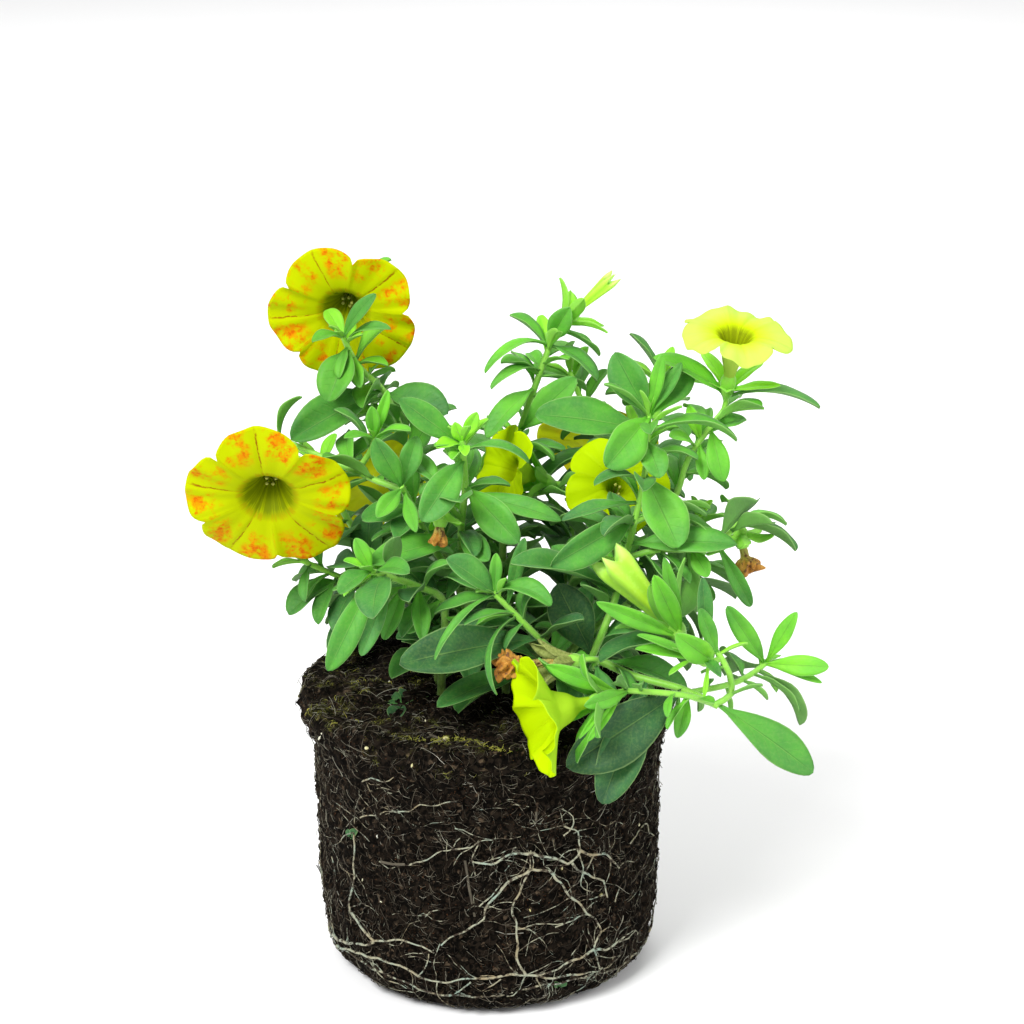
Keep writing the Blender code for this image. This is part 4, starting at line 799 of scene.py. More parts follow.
class Stem:
    """A leafy stem with its side shoots, leaves, stalks and calyces."""

    def __init__(self, name, x, y, point):
        self.name = name
        self.foot = (x, y)
        self.point = point
        self.shoots = []
        self.strands = []
        self.calyces = []
        self.set_blades = []
        self.free_blades = []
        self.small_blades = []
        self.draw = random.Random(name)

    def main(self, *places, thick=1.1, thin=0.8):
        """The stem that stands in its hole: straight up out of the peat, then along its way."""
        x, y = self.foot
        surface = top_height(x, y)
        floor = Vector((x, y, surface - HOLE_DEPTH - 0.05))
        points = [Vector((x, y, surface + STRAIGHT_UP)), *(self.point(*place) for place in places)]
        self.strands.append(([floor, *smooth(points, STEM_STEP)], thick, thin, 0.0, 0.75))
        self.shoots.append([floor, *smooth(points)])
        return self.shoots[-1]

    def shoot(self, *places, thick=SHOOT_RADIUS, end=()):
        """A side shoot or stalk, which starts on the nearest stem."""
        first, *others = (self.point(*place) for place in places)
        points = [self.near(first)[0], *others, *end]
        self.strands.append((smooth(points, STEM_STEP), thick, SHOOT_RADIUS * 0.85, 0.45, 1.0))
        self.shoots.append(smooth(points))
        return self.shoots[-1]

    def near(self, point):
        """The nearest point of this stem's shoots, and the way the shoot runs there."""
        best = None
        for route in self.shoots:
            for start, end in zip(route, route[1:]):
                span = end - start
                last = 1.0 - SHOOT_RADIUS / span.length if end is route[-1] else 1.0
                t = max(0.0, min(last, (point - start).dot(span) / span.length_squared))
                spot = start + span * t
                gap = (point - spot).length
                if best is None or gap < best[0]:
                    best = (gap, spot, span.normalized())
        return best[1], best[2]

    def leaves(self, *rows, small=False):
        """Leaves by root, tip, width, bend and the way they face. The solid has all but the small ones."""
        for *ends, wide, bend, face in rows:
            root, axis = self.near(self.point(*ends[:3]))
            chord = self.point(*ends[3:]) - root
            half = math.radians(bend) / 2.0
            side = chord.cross(face).normalized()
            up = side.cross(chord).normalized()
            forward = chord.normalized() * math.cos(half) + up * math.sin(half)
            up = side.cross(forward)
            long = chord.length * half / math.sin(half)
            blade = Blade(root, forward, up, long, wide, 2.0 * half, axis, young=small)
            (self.small_blades if small else self.set_blades).append(blade)

    def stalk(self, name, *places, long=13.0, spread=28.0, roll=0.3):
        """The stalk that ends in line under a bloom, with the slender sepals round the bloom's foot."""
        bloom = by_name[name]
        self.shoot(*places, end=(bloom.foot - bloom.axis * 6.0, bloom.foot - bloom.axis * 1.8))
        sepals = []
        for angle in turns(SEPALS):
            out = bloom.out(angle + roll)
            lean = math.radians(spread + self.draw.uniform(-8.0, 12.0))
            forward = bloom.axis * math.cos(lean) + out * math.sin(lean)
            up = bloom.axis * math.sin(lean) - out * math.cos(lean)
            size = long * self.draw.uniform(0.85, 1.15)
            root = bloom.foot - bloom.axis * 0.4 + out * 1.25
            droop = math.radians(self.draw.uniform(10.0, 40.0))
            sepals.append(Blade(root, forward, up, size, SEPAL_WIDE, droop, bloom.axis, 0.1, sepal=True))
        self.calyces.append((bloom, sepals))

    def clothe(self, route, bare=8.0, gap=12.0, long=(22.0, 13.0), wide=0.36, droop=55.0, tuft=4):
        """Leaves in pairs along a route, each pair turned a quarter, and a tuft at its end."""
        draw = self.draw
        ways = directions(route)
        lengths = measured(route)
        total = lengths[-1]
        along = bare
        turn = draw.uniform(0.0, math.pi)
        while along < total - 3.0:
            i, t = part_at(lengths, along)
            point = route[i].lerp(route[i + 1], t)
            way = ways[i].lerp(ways[i + 1], t).normalized()
            part = (along - bare) / max(total - bare, 1.0)
            for twin in (0.0, math.pi):
                size = (long[0] + (long[1] - long[0]) * part) * draw.uniform(0.8, 1.12)
                out = turn + twin + draw.uniform(-0.3, 0.3)
                self.sprout(point, way, out, size, wide, LEAF_SPREAD, droop)
            turn += math.pi / 2.0 + draw.uniform(-0.25, 0.25)
            along += gap * draw.uniform(0.85, 1.2)
        for k in range(tuft):
            inner = k >= tuft // 2
            size = long[1] * (0.7 if inner else 0.95) * draw.uniform(0.85, 1.1)
            lean = TUFT_LEANS[inner] + draw.uniform(-6.0, 6.0)
            point = route[-1] - ways[-1] * (0.6 + 0.9 * (tuft - 1 - k))
            self.sprout(point, ways[-1], turn + k * TUFT_TURN, size, wide * 0.85, lean, TUFT_DROOP, True)

    def sprout(self, point, way, turn, long, wide, spread, droop, young=False):
        """One leaf off a shoot, its upper side to the sky and the shoot's tip."""
        side = way.cross(Vector((0.0, 0.0, 1.0)))
        side = side.normalized() if side.length > 0.2 else way.orthogonal().normalized()
        out = side * math.cos(turn) + way.cross(side) * math.sin(turn)
        lean = math.radians(spread + self.draw.uniform(-10.0, 10.0))
        forward = way * math.cos(lean) + out * math.sin(lean)
        up = Vector((0.0, 0.0, 0.75)) + way * 0.45
        bend = math.radians(droop * self.draw.uniform(0.5, 1.3))
        self.free_blades.append(Blade(point, forward, up, long, long * wide, bend, way, young=young))

    def found(self, corners, blade, tries):
        """The blade as the solid has it: the try whose tip is one of the solid's corners, or None."""
        for turn, lift, scale in tries:
            moved = blade.moved(turn, lift, scale)
            if corners.find(moved.at(1.0) * MM)[2] < FOUND_WITHIN * MM:
                return moved
        return None


plant = []


def planted(name, x, y, point=seen):
    """A new stem of the plant, which stands in the peat at X and Y. point finds the places given for it."""
    plant.append(Stem(name, x, y, point))
    return plant[-1]


# The stem that leans out to the right over the brim, with the tall shoot that rises from it.
stem = planted("stem_front", 5.0, -8.0)
stem.main(
    (545, 664, -16), (591, 659, -24), (634, 676, -31), (682, 689, -35), (718, 706, -36),
    thick=STEM_RADIUS, thin=0.85,
)
stem.stalk(
    "bud_front", (718, 706, -36), (731, 694, -36), (729, 673, -34), (713, 648, -32),
    long=16.0, spread=26.0, roll=0.6,
)
stem.stalk("bloom_front", (713, 704, -36), (682, 695, -41), long=17.0, spread=42.0, roll=0.9)
side = stem.shoot((691, 690, -35), (731, 684, -29), (753, 673, -22), (767, 662, -18))
stem.clothe(side, bare=16.0, gap=9.0, long=(9.0, 12.0), wide=0.26)
tall = stem.shoot(
    (591, 659, -24), (608, 619, -22), (617, 592, -20), (634, 524, -17), (645, 473, -14), (649, 413, -12),
    thick=1.0,
)
stem.clothe(tall, bare=34.0, gap=20.0, long=(15.0, 13.0), wide=0.3)
stem.stalk(
    "bloom_right", (635, 522, -17), (660, 510, -14), (677, 493, -12), (688, 459, -10), (711, 426, -8),
    long=12.0, spread=50.0,
)
side = stem.shoot((562, 658, -20), (540, 639, -25), (518, 617, -27), (493, 592, -29), thick=0.9)
stem.clothe(side, bare=18.0, gap=30.0, long=(10.0, 9.0), wide=0.28, tuft=3)
side = stem.shoot((722, 658, -34), (704, 664, -36), (688, 654, -38))
stem.clothe(side, bare=4.0, gap=30.0, long=(9.0, 9.0), wide=0.26, tuft=3)
stem.stalk(
    "spent_right", (632, 560, -19), (657, 550, -19), (700, 548, -17), (735, 528, -12),
    long=8.0, spread=60.0,
)
stem.stalk("spent_front", (600, 661, -25), (592, 668, -28), long=12.0, spread=22.0)
stem.leaves(
    (718, 706, -36, 813, 773, -39, 8.6, 15, HALF), (684, 689, -35, 566, 767, -50, 12.5, 25, FRONT),
    (645, 679, -33, 602, 804, -51, 10.0, 40, FRONT), (689, 690, -36, 677, 738, -42, 3.6, 50, FRONT),
    (590, 655, -24, 557, 584, -20, 10.0, 15, FRONT), (603, 640, -23, 652, 622, -18, 7.5, 30, SKY),
    (720, 656, -33, 700, 608, -34, 3.6, 10, FRONT), (705, 640, -31, 702, 577, -33, 3.6, 10, FRONT),
    (643, 415, -12, 615, 352, -10, 8.0, 10, FRONT), (646, 412, -12, 604, 384, -18, 3.6, 30, SKY),
    (651, 412, -12, 662, 355, -12, 3.2, 10, FRONT), (655, 412, -12, 682, 363, -10, 3.0, 10, FRONT),
    (660, 412, -11, 690, 364, -4, 7.0, 15, FRONT), (646, 416, -13, 606, 467, -22, 9.0, 28, FRONT),
    (645, 432, -13, 535, 415, -20, 9.0, 22, HALF), (651, 434, -12, 737, 441, -14, 4.4, 90, SKY),
    (651, 442, -12, 660, 478, -22, 6.0, 40, FRONT), (646, 475, -14, 678, 548, -25, 9.6, 22, FRONT),
    (645, 480, -15, 680, 523, -6, 6.0, 20, FRONT), (644, 485, -15, 597, 477, -26, 3.6, 70, SKY),
    (638, 503, -16, 562, 521, -20, 4.2, 30, SKY), (634, 517, -17, 550, 566, -32, 7.6, 30, FRONT),
    (632, 545, -18, 737, 545, -22, 7.6, 22, HALF), (616, 592, -20, 511, 564, -33, 7.6, 25, SKY),
    (735, 400, -7, 820, 408, -9, 5.6, 60, SKY), (733, 400, -7, 660, 354, -9, 5.6, 50, HALF),
    (711, 428, -8, 723, 482, -14, 5.0, 40, FRONT), (700, 444, -9, 704, 480, -14, 3.2, 30, FRONT),
    (697, 448, -9, 669, 436, -14, 4.0, 50, SKY), (700, 440, -9, 689, 405, -8, 3.0, 20, FRONT),
    (715, 545, -14, 751, 606, -13, 3.6, 40, FRONT), (690, 550, -17, 708, 577, -22, 4.0, 30, FRONT),
    (487, 590, -29, 446, 559, -33, 6.3, 20, HALF), (494, 590, -29, 496, 553, -28, 2.8, 10, FRONT),
    (497, 594, -29, 551, 606, -36, 4.6, 95, SKY), (492, 594, -29, 435, 660, -42, 2.2, 70, SKY),
    (515, 618, -27, 497, 695, -42, 2.2, 100, Vector((-0.8, -0.5, 0.3))),
    (512, 615, -27, 464, 625, -38, 2.6, 40, SKY), (507, 606, -28, 524, 541, -30, 3.2, 20, FRONT),
    (540, 638, -25, 396, 674, -38, 10.5, 15, HALF), (528, 668, -12, 437, 707, -36, 6.0, 25, HALF),
)
stem.leaves(
    (767, 652, -18, 727, 606, -22, 4.6, 50, FRONT), (768, 654, -18, 797, 612, -20, 3.8, 15, FRONT),
    (768, 660, -19, 829, 667, -24, 4.8, 25, FRONT), (766, 664, -19, 822, 683, -23, 1.9, 20, HALF),
    (724, 652, -33, 748, 643, -33, 1.3, 30, SKY), (712, 654, -34, 676, 634, -42, 5.8, 40, FRONT),
    (700, 652, -36, 637, 635, -40, 2.1, 25, HALF), (702, 656, -36, 635, 649, -39, 3.0, 30, HALF),
    (708, 664, -35, 704, 698, -38, 1.2, 30, FRONT), (672, 628, -32, 596, 602, -38, 3.9, 30, FRONT),
    (673, 626, -32, 654, 575, -37, 4.8, 12, FRONT), (674, 626, -32, 664, 557, -33, 3.2, 8, FRONT),
    (620, 684, -44, 546, 665, -48, 4.0, 20, FRONT), (630, 684, -43, 584, 706, -53, 3.8, 30, FRONT),
    (624, 686, -44, 587, 742, -55, 2.0, 25, FRONT), (612, 688, -45, 579, 739, -55, 1.4, 15, FRONT),
    small=True,
)

# The upright stem left of the middle, with a bright tuft at its tip.
stem = planted("stem_centre_left", -4.0, -4.0)
main = stem.main((468, 600, -4), (461, 540, -5), (465, 486, -8), (462, 440, -11))
stem.clothe(main, bare=34.0, gap=14.0, long=(16.0, 10.0), wide=0.34)
stem.stalk("spent_left", (462, 520, -6), (450, 506, -9), long=6.0, spread=45.0)
stem.leaves(
    (461, 446, -11, 399, 399, -12, 6.0, 18, FRONT), (462, 460, -10, 420, 524, -20, 7.6, 25, FRONT),
    (464, 486, -8, 519, 543, -18, 7.6, 20, FRONT), (464, 495, -8, 561, 521, -14, 5.2, 22, HALF),
    (464, 452, -10, 529, 463, -14, 3.2, 90, SKY), (462, 450, -10, 434, 446, -16, 2.8, 40, SKY),
    (462, 530, -5, 489, 561, -18, 5.6, 25, FRONT), (461, 540, -5, 368, 564, -25, 6.6, 20, HALF),
)
stem.leaves(
    (463, 443, -11, 477, 412, -11, 3.2, 10, FRONT), (461, 443, -11, 455, 422, -13, 3.0, 20, FRONT),
    (460, 447, -11, 436, 448, -16, 3.4, 40, SKY), (463, 447, -11, 466, 456, -19, 2.6, 30, SKY),
    small=True,
)

# The low shoot that leans out to the left, with leaves that hang over the brim.
stem = planted("stem_left_low", -11.0, -8.0)
main = stem.main((445, 622, -11), (441, 597, -14), (419, 587, -18), (397, 579, -22), (370, 571, -26))
stem.clothe(main, bare=30.0, gap=14.0, long=(14.0, 10.0), wide=0.34, tuft=3)
stem.leaves(
    (370, 571, -26, 339, 594, -33, 4.6, 50, SKY), (366, 571, -26, 355, 538, -26, 3.6, 10, FRONT),
    (376, 573, -25, 328, 671, -37, 6.2, 40, FRONT), (391, 578, -23, 361, 656, -35, 4.4, 30, FRONT),
    (418, 587, -18, 422, 641, -30, 4.2, 30, FRONT), (405, 582, -20, 384, 640, -28, 4.2, 35, FRONT),
    (440, 600, -14, 406, 633, -20, 4.4, 30, FRONT),
)

# The stem that carries the large veined bloom on the left.
stem = planted("stem_left_flower", -12.0, 1.0)
stem.main((462, 600, 4), (432, 545, 0), (409, 500, -6), (401, 486, -9))
stem.stalk("bloom_left", (402, 489, -8), (380, 482, -6), (352, 470, -1), spread=35.0)
side = stem.shoot((356, 471, -2), (370, 452, -2), (375, 437, -4))
stem.clothe(side, bare=30.0, long=(8.0, 7.0), wide=0.3, tuft=3)
stem.leaves(
    (376, 438, -4, 372, 406, -6, 3.2, 10, FRONT), (377, 438, -4, 411, 431, -10, 3.6, 45, SKY),
    (374, 440, -4, 344, 438, -10, 2.4, 40, SKY), (377, 440, -3, 388, 390, -2, 2.6, 5, FRONT),
    (400, 484, -9, 375, 438, -13, 5.8, 15, FRONT), (404, 484, -9, 417, 436, -6, 5.0, 15, FRONT),
    (401, 488, -9, 377, 518, -17, 4.2, 20, FRONT), (405, 492, -8, 423, 550, -17, 3.6, 20, FRONT),
    (412, 506, -5, 362, 520, -14, 5.5, 30, HALF), (425, 530, -2, 392, 560, -16, 6.5, 30, HALF),
    (420, 520, -3, 450, 480, -2, 5.0, 30, HALF),
)

# The slender stem that rises behind the middle, with long arching leaves and a bud.
stem = planted("stem_back_centre", 3.0, 7.0)
main = stem.main((503, 560, 12), (501, 486, 17), (518, 436, 21), (529, 403, 23), (551, 342, 26))
stem.clothe(main, bare=22.0, gap=18.0, long=(20.0, 12.0), wide=0.34)
stem.stalk("bud_back", (551, 344, 26), long=11.0, spread=40.0)
stem.stalk("bloom_back_middle", (501, 500, 16), (515, 498, 14), long=9.0)
stem.leaves(
    (554, 340, 26, 578, 295, 26, 6.0, 15, FRONT), (551, 346, 26, 597, 381, 20, 6.0, 60, SKY),
    (549, 346, 26, 485, 373, 14, 2.8, 95, SKY), (539, 370, 25, 491, 389, 14, 3.2, 80, SKY),
    (534, 388, 24, 487, 438, 12, 5.6, 60, HALF), (520, 432, 21, 577, 378, 15, 6.8, 15, FRONT),
    (522, 425, 21, 560, 400, 30, 6.0, 20, HALF),
)

# The stem behind on the left, with two broad leaves and the upper veined bloom.
stem = planted("stem_back_left", -7.0, 10.0)
main = stem.main((462, 600, 13), (432, 520, 15), (405, 440, 17), (384, 392, 18), (362, 372, 22))
stem.clothe(main, bare=24.0, gap=14.0, long=(20.0, 16.0), tuft=0)
stem.stalk("bloom_back_left", (384, 392, 18), (374, 400, 28), (357, 374, 39), long=12.0, spread=35.0)
side = stem.shoot((368, 377, 21), (352, 356, 14), (343, 336, 10))
stem.clothe(side, bare=7.0, gap=9.0, long=(10.0, 9.0), wide=0.3, tuft=3)
stem.leaves(
    (382, 390, 18, 291, 440, 4, 9.2, 18, HALF), (386, 394, 18, 448, 414, 8, 8.0, 45, HALF),
    (343, 340, 10, 312, 342, 4, 3.4, 60, SKY), (344, 338, 10, 376, 294, 6, 3.4, 40, HALF),
    (346, 344, 11, 391, 329, 4, 2.8, 60, SKY), (350, 350, 12, 328, 402, 2, 8.0, 30, FRONT),
    (410, 455, 17, 440, 410, 14, 8.0, 25, HALF),
)

# The stem behind on the right, with broad leaves round a bloom.
stem = planted("stem_back_right", 12.0, 5.0, solid)
main = stem.main((20, 14, 90), (30, 24, 108), (41, 30, 126), (45, 30, 144))
stem.clothe(main, bare=18.0, long=(24.0, 13.0), wide=0.38)
stem.stalk("bloom_back_right", (27, 21, 102), long=10.0)
side = stem.shoot((36, 27, 117), (27, 32, 130), (21, 32, 144))
stem.clothe(side, long=(20.0, 12.0), tuft=3)

# A short low stem on the right.
stem = planted("stem_right_low", 16.0, -5.0, solid)
main = stem.main((24, -8, 88), (36, -6, 97), (47, -2, 106), (52, 0, 116))
stem.clothe(main, bare=14.0, long=(21.0, 12.0), wide=0.33, droop=65.0)
side = stem.shoot((30, -7, 93), (42, 6, 92), (52, 14, 98))
stem.clothe(side, long=(19.0, 12.0), wide=0.33, droop=65.0, tuft=3)

# The stem that leans out behind on the left, with a bloom of its own.
stem = planted("stem_rear_left", -14.0, 11.0, solid)
main = stem.main((-22, 19, 90), (-34, 27, 104), (-43, 31, 120))
stem.clothe(main, bare=14.0, long=(24.0, 13.0))
stem.stalk("bloom_rear_left", (-25, 21, 93), (-21, 30, 98), long=12.0)
side = stem.shoot((-20, 17, 88), (-34, 10, 96), (-46, 4, 104))
stem.clothe(side, bare=10.0, gap=13.0, long=(21.0, 12.0), tuft=3)

# The stem that leans out behind on the right, with a bloom of its own.
stem = planted("stem_rear_right", 12.0, 16.0, solid)
main = stem.main((20, 26, 90), (30, 34, 108), (38, 38, 126))
stem.clothe(main, bare=14.0, long=(24.0, 13.0))
stem.stalk("bloom_rear_right", (23, 28, 95), (22, 36, 101), long=12.0)
side = stem.shoot((18, 23, 86), (34, 24, 92), (48, 26, 102))
stem.clothe(side, bare=10.0, gap=13.0, long=(21.0, 12.0), tuft=3)

# The stem at the back that leans out over the brim.
stem = planted("stem_rear_centre", 0.0, 19.0, solid)
main = stem.main((-1, 28, 88), (1, 38, 99), (-2, 47, 112))
stem.clothe(main, bare=12.0, long=(24.0, 13.0))
side = stem.shoot((0, 30, 90), (6, 34, 104), (6, 38, 120))
stem.clothe(side, bare=9.0, long=(19.0, 12.0), tuft=3)

# Each blade is drawn as the solid has it, or left out if the solid has no such leaf.
for stem in plant:
    corners = frame["nodes"][stem.name].data.vertices
    tree = KDTree(len(corners))
    for corner in corners:
        tree.insert(corner.co, corner.index)
    tree.balance()
    sets = [stem.found(tree, blade, SET_TRIES) for blade in stem.set_blades]
    free = [stem.found(tree, blade, FREE_TRIES) for blade in stem.free_blades]
    sepals = [stem.found(tree, blade, SET_TRIES) or blade for _, cup in stem.calyces for blade in cup]
    stem.blades = [blade for blade in sets + free if blade] + sepals + stem.small_blades
    for blade in sepals:
        if blade.axis == by_name["spent_front"].axis:
            blade.dry = 0.75
        if blade.axis in (by_name["bud_front"].axis, by_name["bloom_front"].axis):
            blade.spread = BROAD_SEPAL_WIDER

# Shoots, stalks and calyx cups.
# Round green shoots, darker towards the peat and bright at their tips, each grown out of the one before it.
# Fine pale hairs stand on them everywhere, and a stalk widens to a small cup under its bloom.
HAIR_LONG = 0.75
HAIR_THICK = 0.045
HAIRS = 1100000.0  # to a square metre
CUP = (  # how far from the bloom's foot, and the radius there
    *((-3.4, 0.7), (-2.6, 0.95), (-1.8, 1.45), (-1.0, 1.8)),
    *((0.0, 1.95), (1.2, 1.95), (2.4, 1.85), (3.4, 1.4)),
)

green = Finish("shoot_green")
stored_tone = green.read("tone")
streak = green.place.grain(1.5, 3.0)
colours = stored_tone.ramp((0.0, (0.13, 0.24, 0.035)), (0.5, (0.2, 0.54, 0.04)), (1.0, (0.32, 0.78, 0.06)))
colours = (streak.ranged(0.35, 0.7) * 0.35).blend(colours, (0.4, 0.66, 0.12))
values = {"Base Color": colours, "Roughness": 0.5, "Normal": streak.bump(0.4, 0.2), "Sheen Weight": 0.3}
green.wear(values, through=0.12)
hair = Finish("plant_hair")
colours = hair.place.grain(4.0).blend((0.4, 0.62, 0.16), (0.62, 0.8, 0.36))
hair.wear({"Base Color": colours, "Roughness": 0.4}, through=0.4)

given = ruled("strand_tubes", Sides="Int", Wiggle="Float", Swirl="Float", Material="Material")
shape = given["Source"]
line = shape.node("GeometryNodeMeshToCurve", None, {"Mesh": shape})
place = line.node("GeometryNodeInputPosition")
values = {"Vector": place, "Scale": given["Swirl"], "Detail": 2.0}
swirl = place.node("ShaderNodeTexNoise", None, values, "Color")
values = {"Geometry": line, "Offset": (swirl - 0.5) * given["Wiggle"]}
line = line.node("GeometryNodeSetPosition", None, values)
ring = line.node("GeometryNodeCurvePrimitiveCircle", None, {"Resolution": given["Sides"], "Radius": 1.0})
thick = line.node("GeometryNodeInputNamedAttribute", {"data_type": "FLOAT"}, {"Name": "thick"})
values = {"Curve": line, "Profile Curve": ring, "Scale": thick, "Fill Caps": True}
tubes = line.node("GeometryNodeCurveToMesh", None, values)
strand_tree = closed(tubes, given["Material"])

given = ruled("short_hairs", Hairs="Float", Long="Float", Thick="Float", Seed="Int", Material="Material")
shape = given["Source"]
points, upright = strewn(shape, given["Hairs"], given["Seed"])
tilt = drawn(points, (-0.6, -0.6, 0.0), (0.6, 0.6, 6.28), 5)
tilt = points.node("FunctionNodeEulerToRotation", None, {0: tilt})
turned = points.node("FunctionNodeRotateRotation", {"rotation_space": "LOCAL"}, {0: upright, 1: tilt})
values = {"Vertices": 3, "Radius Top": 0.0, "Radius Bottom": given["Thick"], "Depth": given["Long"]}
spike = points.node("GeometryNodeMeshCone", {"fill_type": "NGON"}, values)
values = {"Points": points, "Instance": spike, "Rotation": turned, "Scale": drawn(points, 0.4, 1.2, 9)}
spikes = points.node("GeometryNodeInstanceOnPoints", None, values)
hair_tree = closed(spikes, given["Material"])


def marked(mesh, **marks):
    """Keeps a number at each point of a mesh, for its shape or its material."""
    for name, values in marks.items():
        mesh.attributes.new(name, "FLOAT", "POINT").data.foreach_set("value", values)


def strung(name, runs, sides, finish, wiggle=0.0, swirl=100.0):
    """A piece of round tubes. A run is its points, its radius at each in millimetres and its tone at each."""
    points, lines, thick, tones = [], [], [], []
    for route, radii, shades in runs:
        start = len(points)
        points += [point * MM for point in route]
        lines += [(i, i + 1) for i in range(start, len(points) - 1)]
        thick += [radius * MM for radius in radii]
        tones += shades
    mesh = bpy.data.meshes.new("lines")
    mesh.from_pydata(points, lines, [])
    marked(mesh, thick=thick, tone=tones)
    values = {"Sides": sides, "Wiggle": wiggle * MM, "Swirl": swirl, "Material": finish.material}
    return grown(name, mesh, strand_tree, **values)


def even(count, first, last):
    """Numbers from the first to the last, in equal steps."""
    return [first + (last - first) * i / (count - 1) for i in range(count)]


slots = {part["node"]: part["material_slot"] for part in frame["record"]["subparts"]}
for number, stem in enumerate(plant):
    runs = []
    for route, wide, thin, old, young in stem.strands:
        runs.append((route, even(len(route), wide, thin), even(len(route), old, young)))
    for bloom, _ in stem.calyces:
        full = 1.35 if bloom.name == "bud_front" else 1.0
        cup = [bloom.foot + bloom.axis * along for along, _ in CUP]
        radii = [radius * full for _, radius in CUP]
        runs.append((cup, radii, [0.9] * len(cup)))
    shoots = strung(stem.name + "_shoots", runs, 9, green)
    fixed(shoots, slots[stem.name], stem.name)
    values = {"Hairs": HAIRS, "Long": HAIR_LONG * MM, "Thick": HAIR_THICK * MM, "Seed": number}
    fuzz = grown(stem.name + "_hairs", shoots.data.copy(), hair_tree, Material=hair.material, **values)
    fixed(fuzz, slots[stem.name], stem.name)

# Leaves and sepals.
# Soft, thin, oblong blades on short stalks, folded a little along a pale midrib with a line of painted shade beside
# it, with a pale hairy rim. Old leaves low on the plant are dark and dull, partly because they are old and partly with
# painted shade, young ones near the tips are bright; each grows out of its shoot.
LEAF_ROWS = 14
LEAF_COLUMNS = 7
YOUNG_TRIES = 7
FRESH_MOST = 60  # new points before they are sorted in
OUTER = -29.0  # the Y in front of which young leaves are small and far apart
PEAT_CLEAR = (76.0, 49.0)  # the height and the radius that young leaves stay out of


def leaf_finish(name, shade):
    """The green of the leaves, by how old each blade is and by painted shade low on the plant, veins, rim and
    underside, with painted shade in a line beside the midrib. shade darkens those of the inner stems.
    """
    leaf = Finish(name)
    across, along, under = leaf.read("across"), leaf.read("along"), leaf.read("under")
    # The tone read here is partly painted shade: blades low on the plant are darker.
    stored_tone = leaf.read("tone")
    edge = abs(across)
    patch = leaf.place.grain(7.0, 3.0)
    speck = leaf.place.grain(0.7, 3.0, 0.6)
    ribs = along * 9.0 - edge * 1.6 + (patch - 0.5) * 0.5
    ribs = ribs.work("PINGPONG", ribs, 0.5)
    side_vein = ribs.ranged(0.1, 0.0) * edge.ranged(0.95, 0.5)
    midrib = abs(across - 0.02).ranged(0.04, 0.01) * along.ranged(1.0, 0.6)
    # Painted shade: a thin line just beside the midrib, along the fold.
    crease = abs(across + 0.035).ranged(0.04, 0.01) * along.ranged(1.0, 0.6)
    rim = edge.ranged(0.93, 0.99)
    tone = stored_tone + (patch - 0.5) * 0.5 - along * 0.16 + 0.05
    body = tone.ramp(
        (0.0, (0.032, 0.115, 0.034)),
        (0.25, (0.054, 0.23, 0.04)),
        (0.5, (0.105, 0.42, 0.036)),
        (0.75, (0.19, 0.66, 0.03)),
        (1.0, (0.36, 0.92, 0.028)),
    )
    body = (speck.ranged(0.4, 0.7) * 0.1).blend(body, (0.4, 0.6, 0.12))
    body = (side_vein * 0.05).blend(body, (0.3, 0.55, 0.1))
    body = (leaf.read("cool") * 0.4).blend(body, body * (1.08, 0.9, 2.3))
    body = (midrib * 0.22).blend(body, (0.36, 0.62, 0.14))
    # Painted shade: that line is darkened where the fold's shade falls.
    body = (crease * 0.5).blend(body, body * (0.45, 0.5, 0.45))
    body = (rim * 0.4).blend(body, (0.45, 0.7, 0.24))
    dull = (under.ranged(0.6, 0.4) * 0.4).blend(body, (0.24, 0.42, 0.12))
    straw = speck.ramp((0.3, (0.2, 0.15, 0.04)), (0.6, (0.5, 0.46, 0.16)))
    tinted = leaf.read("dry").blend(dull * (shade, shade, shade), straw)
    height = speck * 0.35 - side_vein * 0.6 - midrib
    values = {
        "Base Color": tinted,
        "Roughness": 0.5 + speck * 0.15,
        "Normal": height.bump(0.45, 0.25),
        "Sheen Weight": 0.08,
        "Sheen Roughness": 0.4,
        "Specular IOR Level": 0.35,
    }
    return leaf.wear(values, through=0.3)


leaf_finishes = {
    "leaf": leaf_finish("leaf_green", 1.0),
    "leaf_shaded": leaf_finish("leaf_green_shaded", 0.85),
}

given = ruled("leaf_blades", Middle="Float", Rim="Float", Ripple="Float", Material="Material")
shape = given["Source"]
values = {"Size X": 2.0, "Size Y": 1.0, "Vertices X": LEAF_COLUMNS, "Vertices Y": LEAF_ROWS}
sheet = shape.node("GeometryNodeMeshGrid", None, values)
values = {"Mesh": sheet, "Offset Scale": 1.0, "Individual": False}
raised = sheet.node("GeometryNodeExtrudeMesh", None, values)
back = sheet.node("GeometryNodeFlipFaces", None, {"Mesh": sheet})
block = sheet.node("GeometryNodeJoinGeometry", None, {0: [raised, back]})
block = block.node("GeometryNodeMergeByDistance", None, {"Geometry": block, "Distance": 0.001})
place = block.node("GeometryNodeInputPosition")
for name, axis in (("across", "X"), ("along", "Y"), ("under", "Z")):
    part = place.node("ShaderNodeSeparateXYZ", None, {0: place}, axis)
    part = part + 0.5 if axis == "Y" else part
    part = part * abs(part) ** 0.5 if axis == "X" else part
    block = kept(block, name, part, "POINT")
spread = block.node("GeometryNodeInstanceOnPoints", None, {"Points": shape, "Instance": block})
spread = spread.node("GeometryNodeRealizeInstances", None, {"Geometry": spread})


def own(name, kind="FLOAT"):
    return spread.node("GeometryNodeInputNamedAttribute", {"data_type": kind}, {"Name": name})


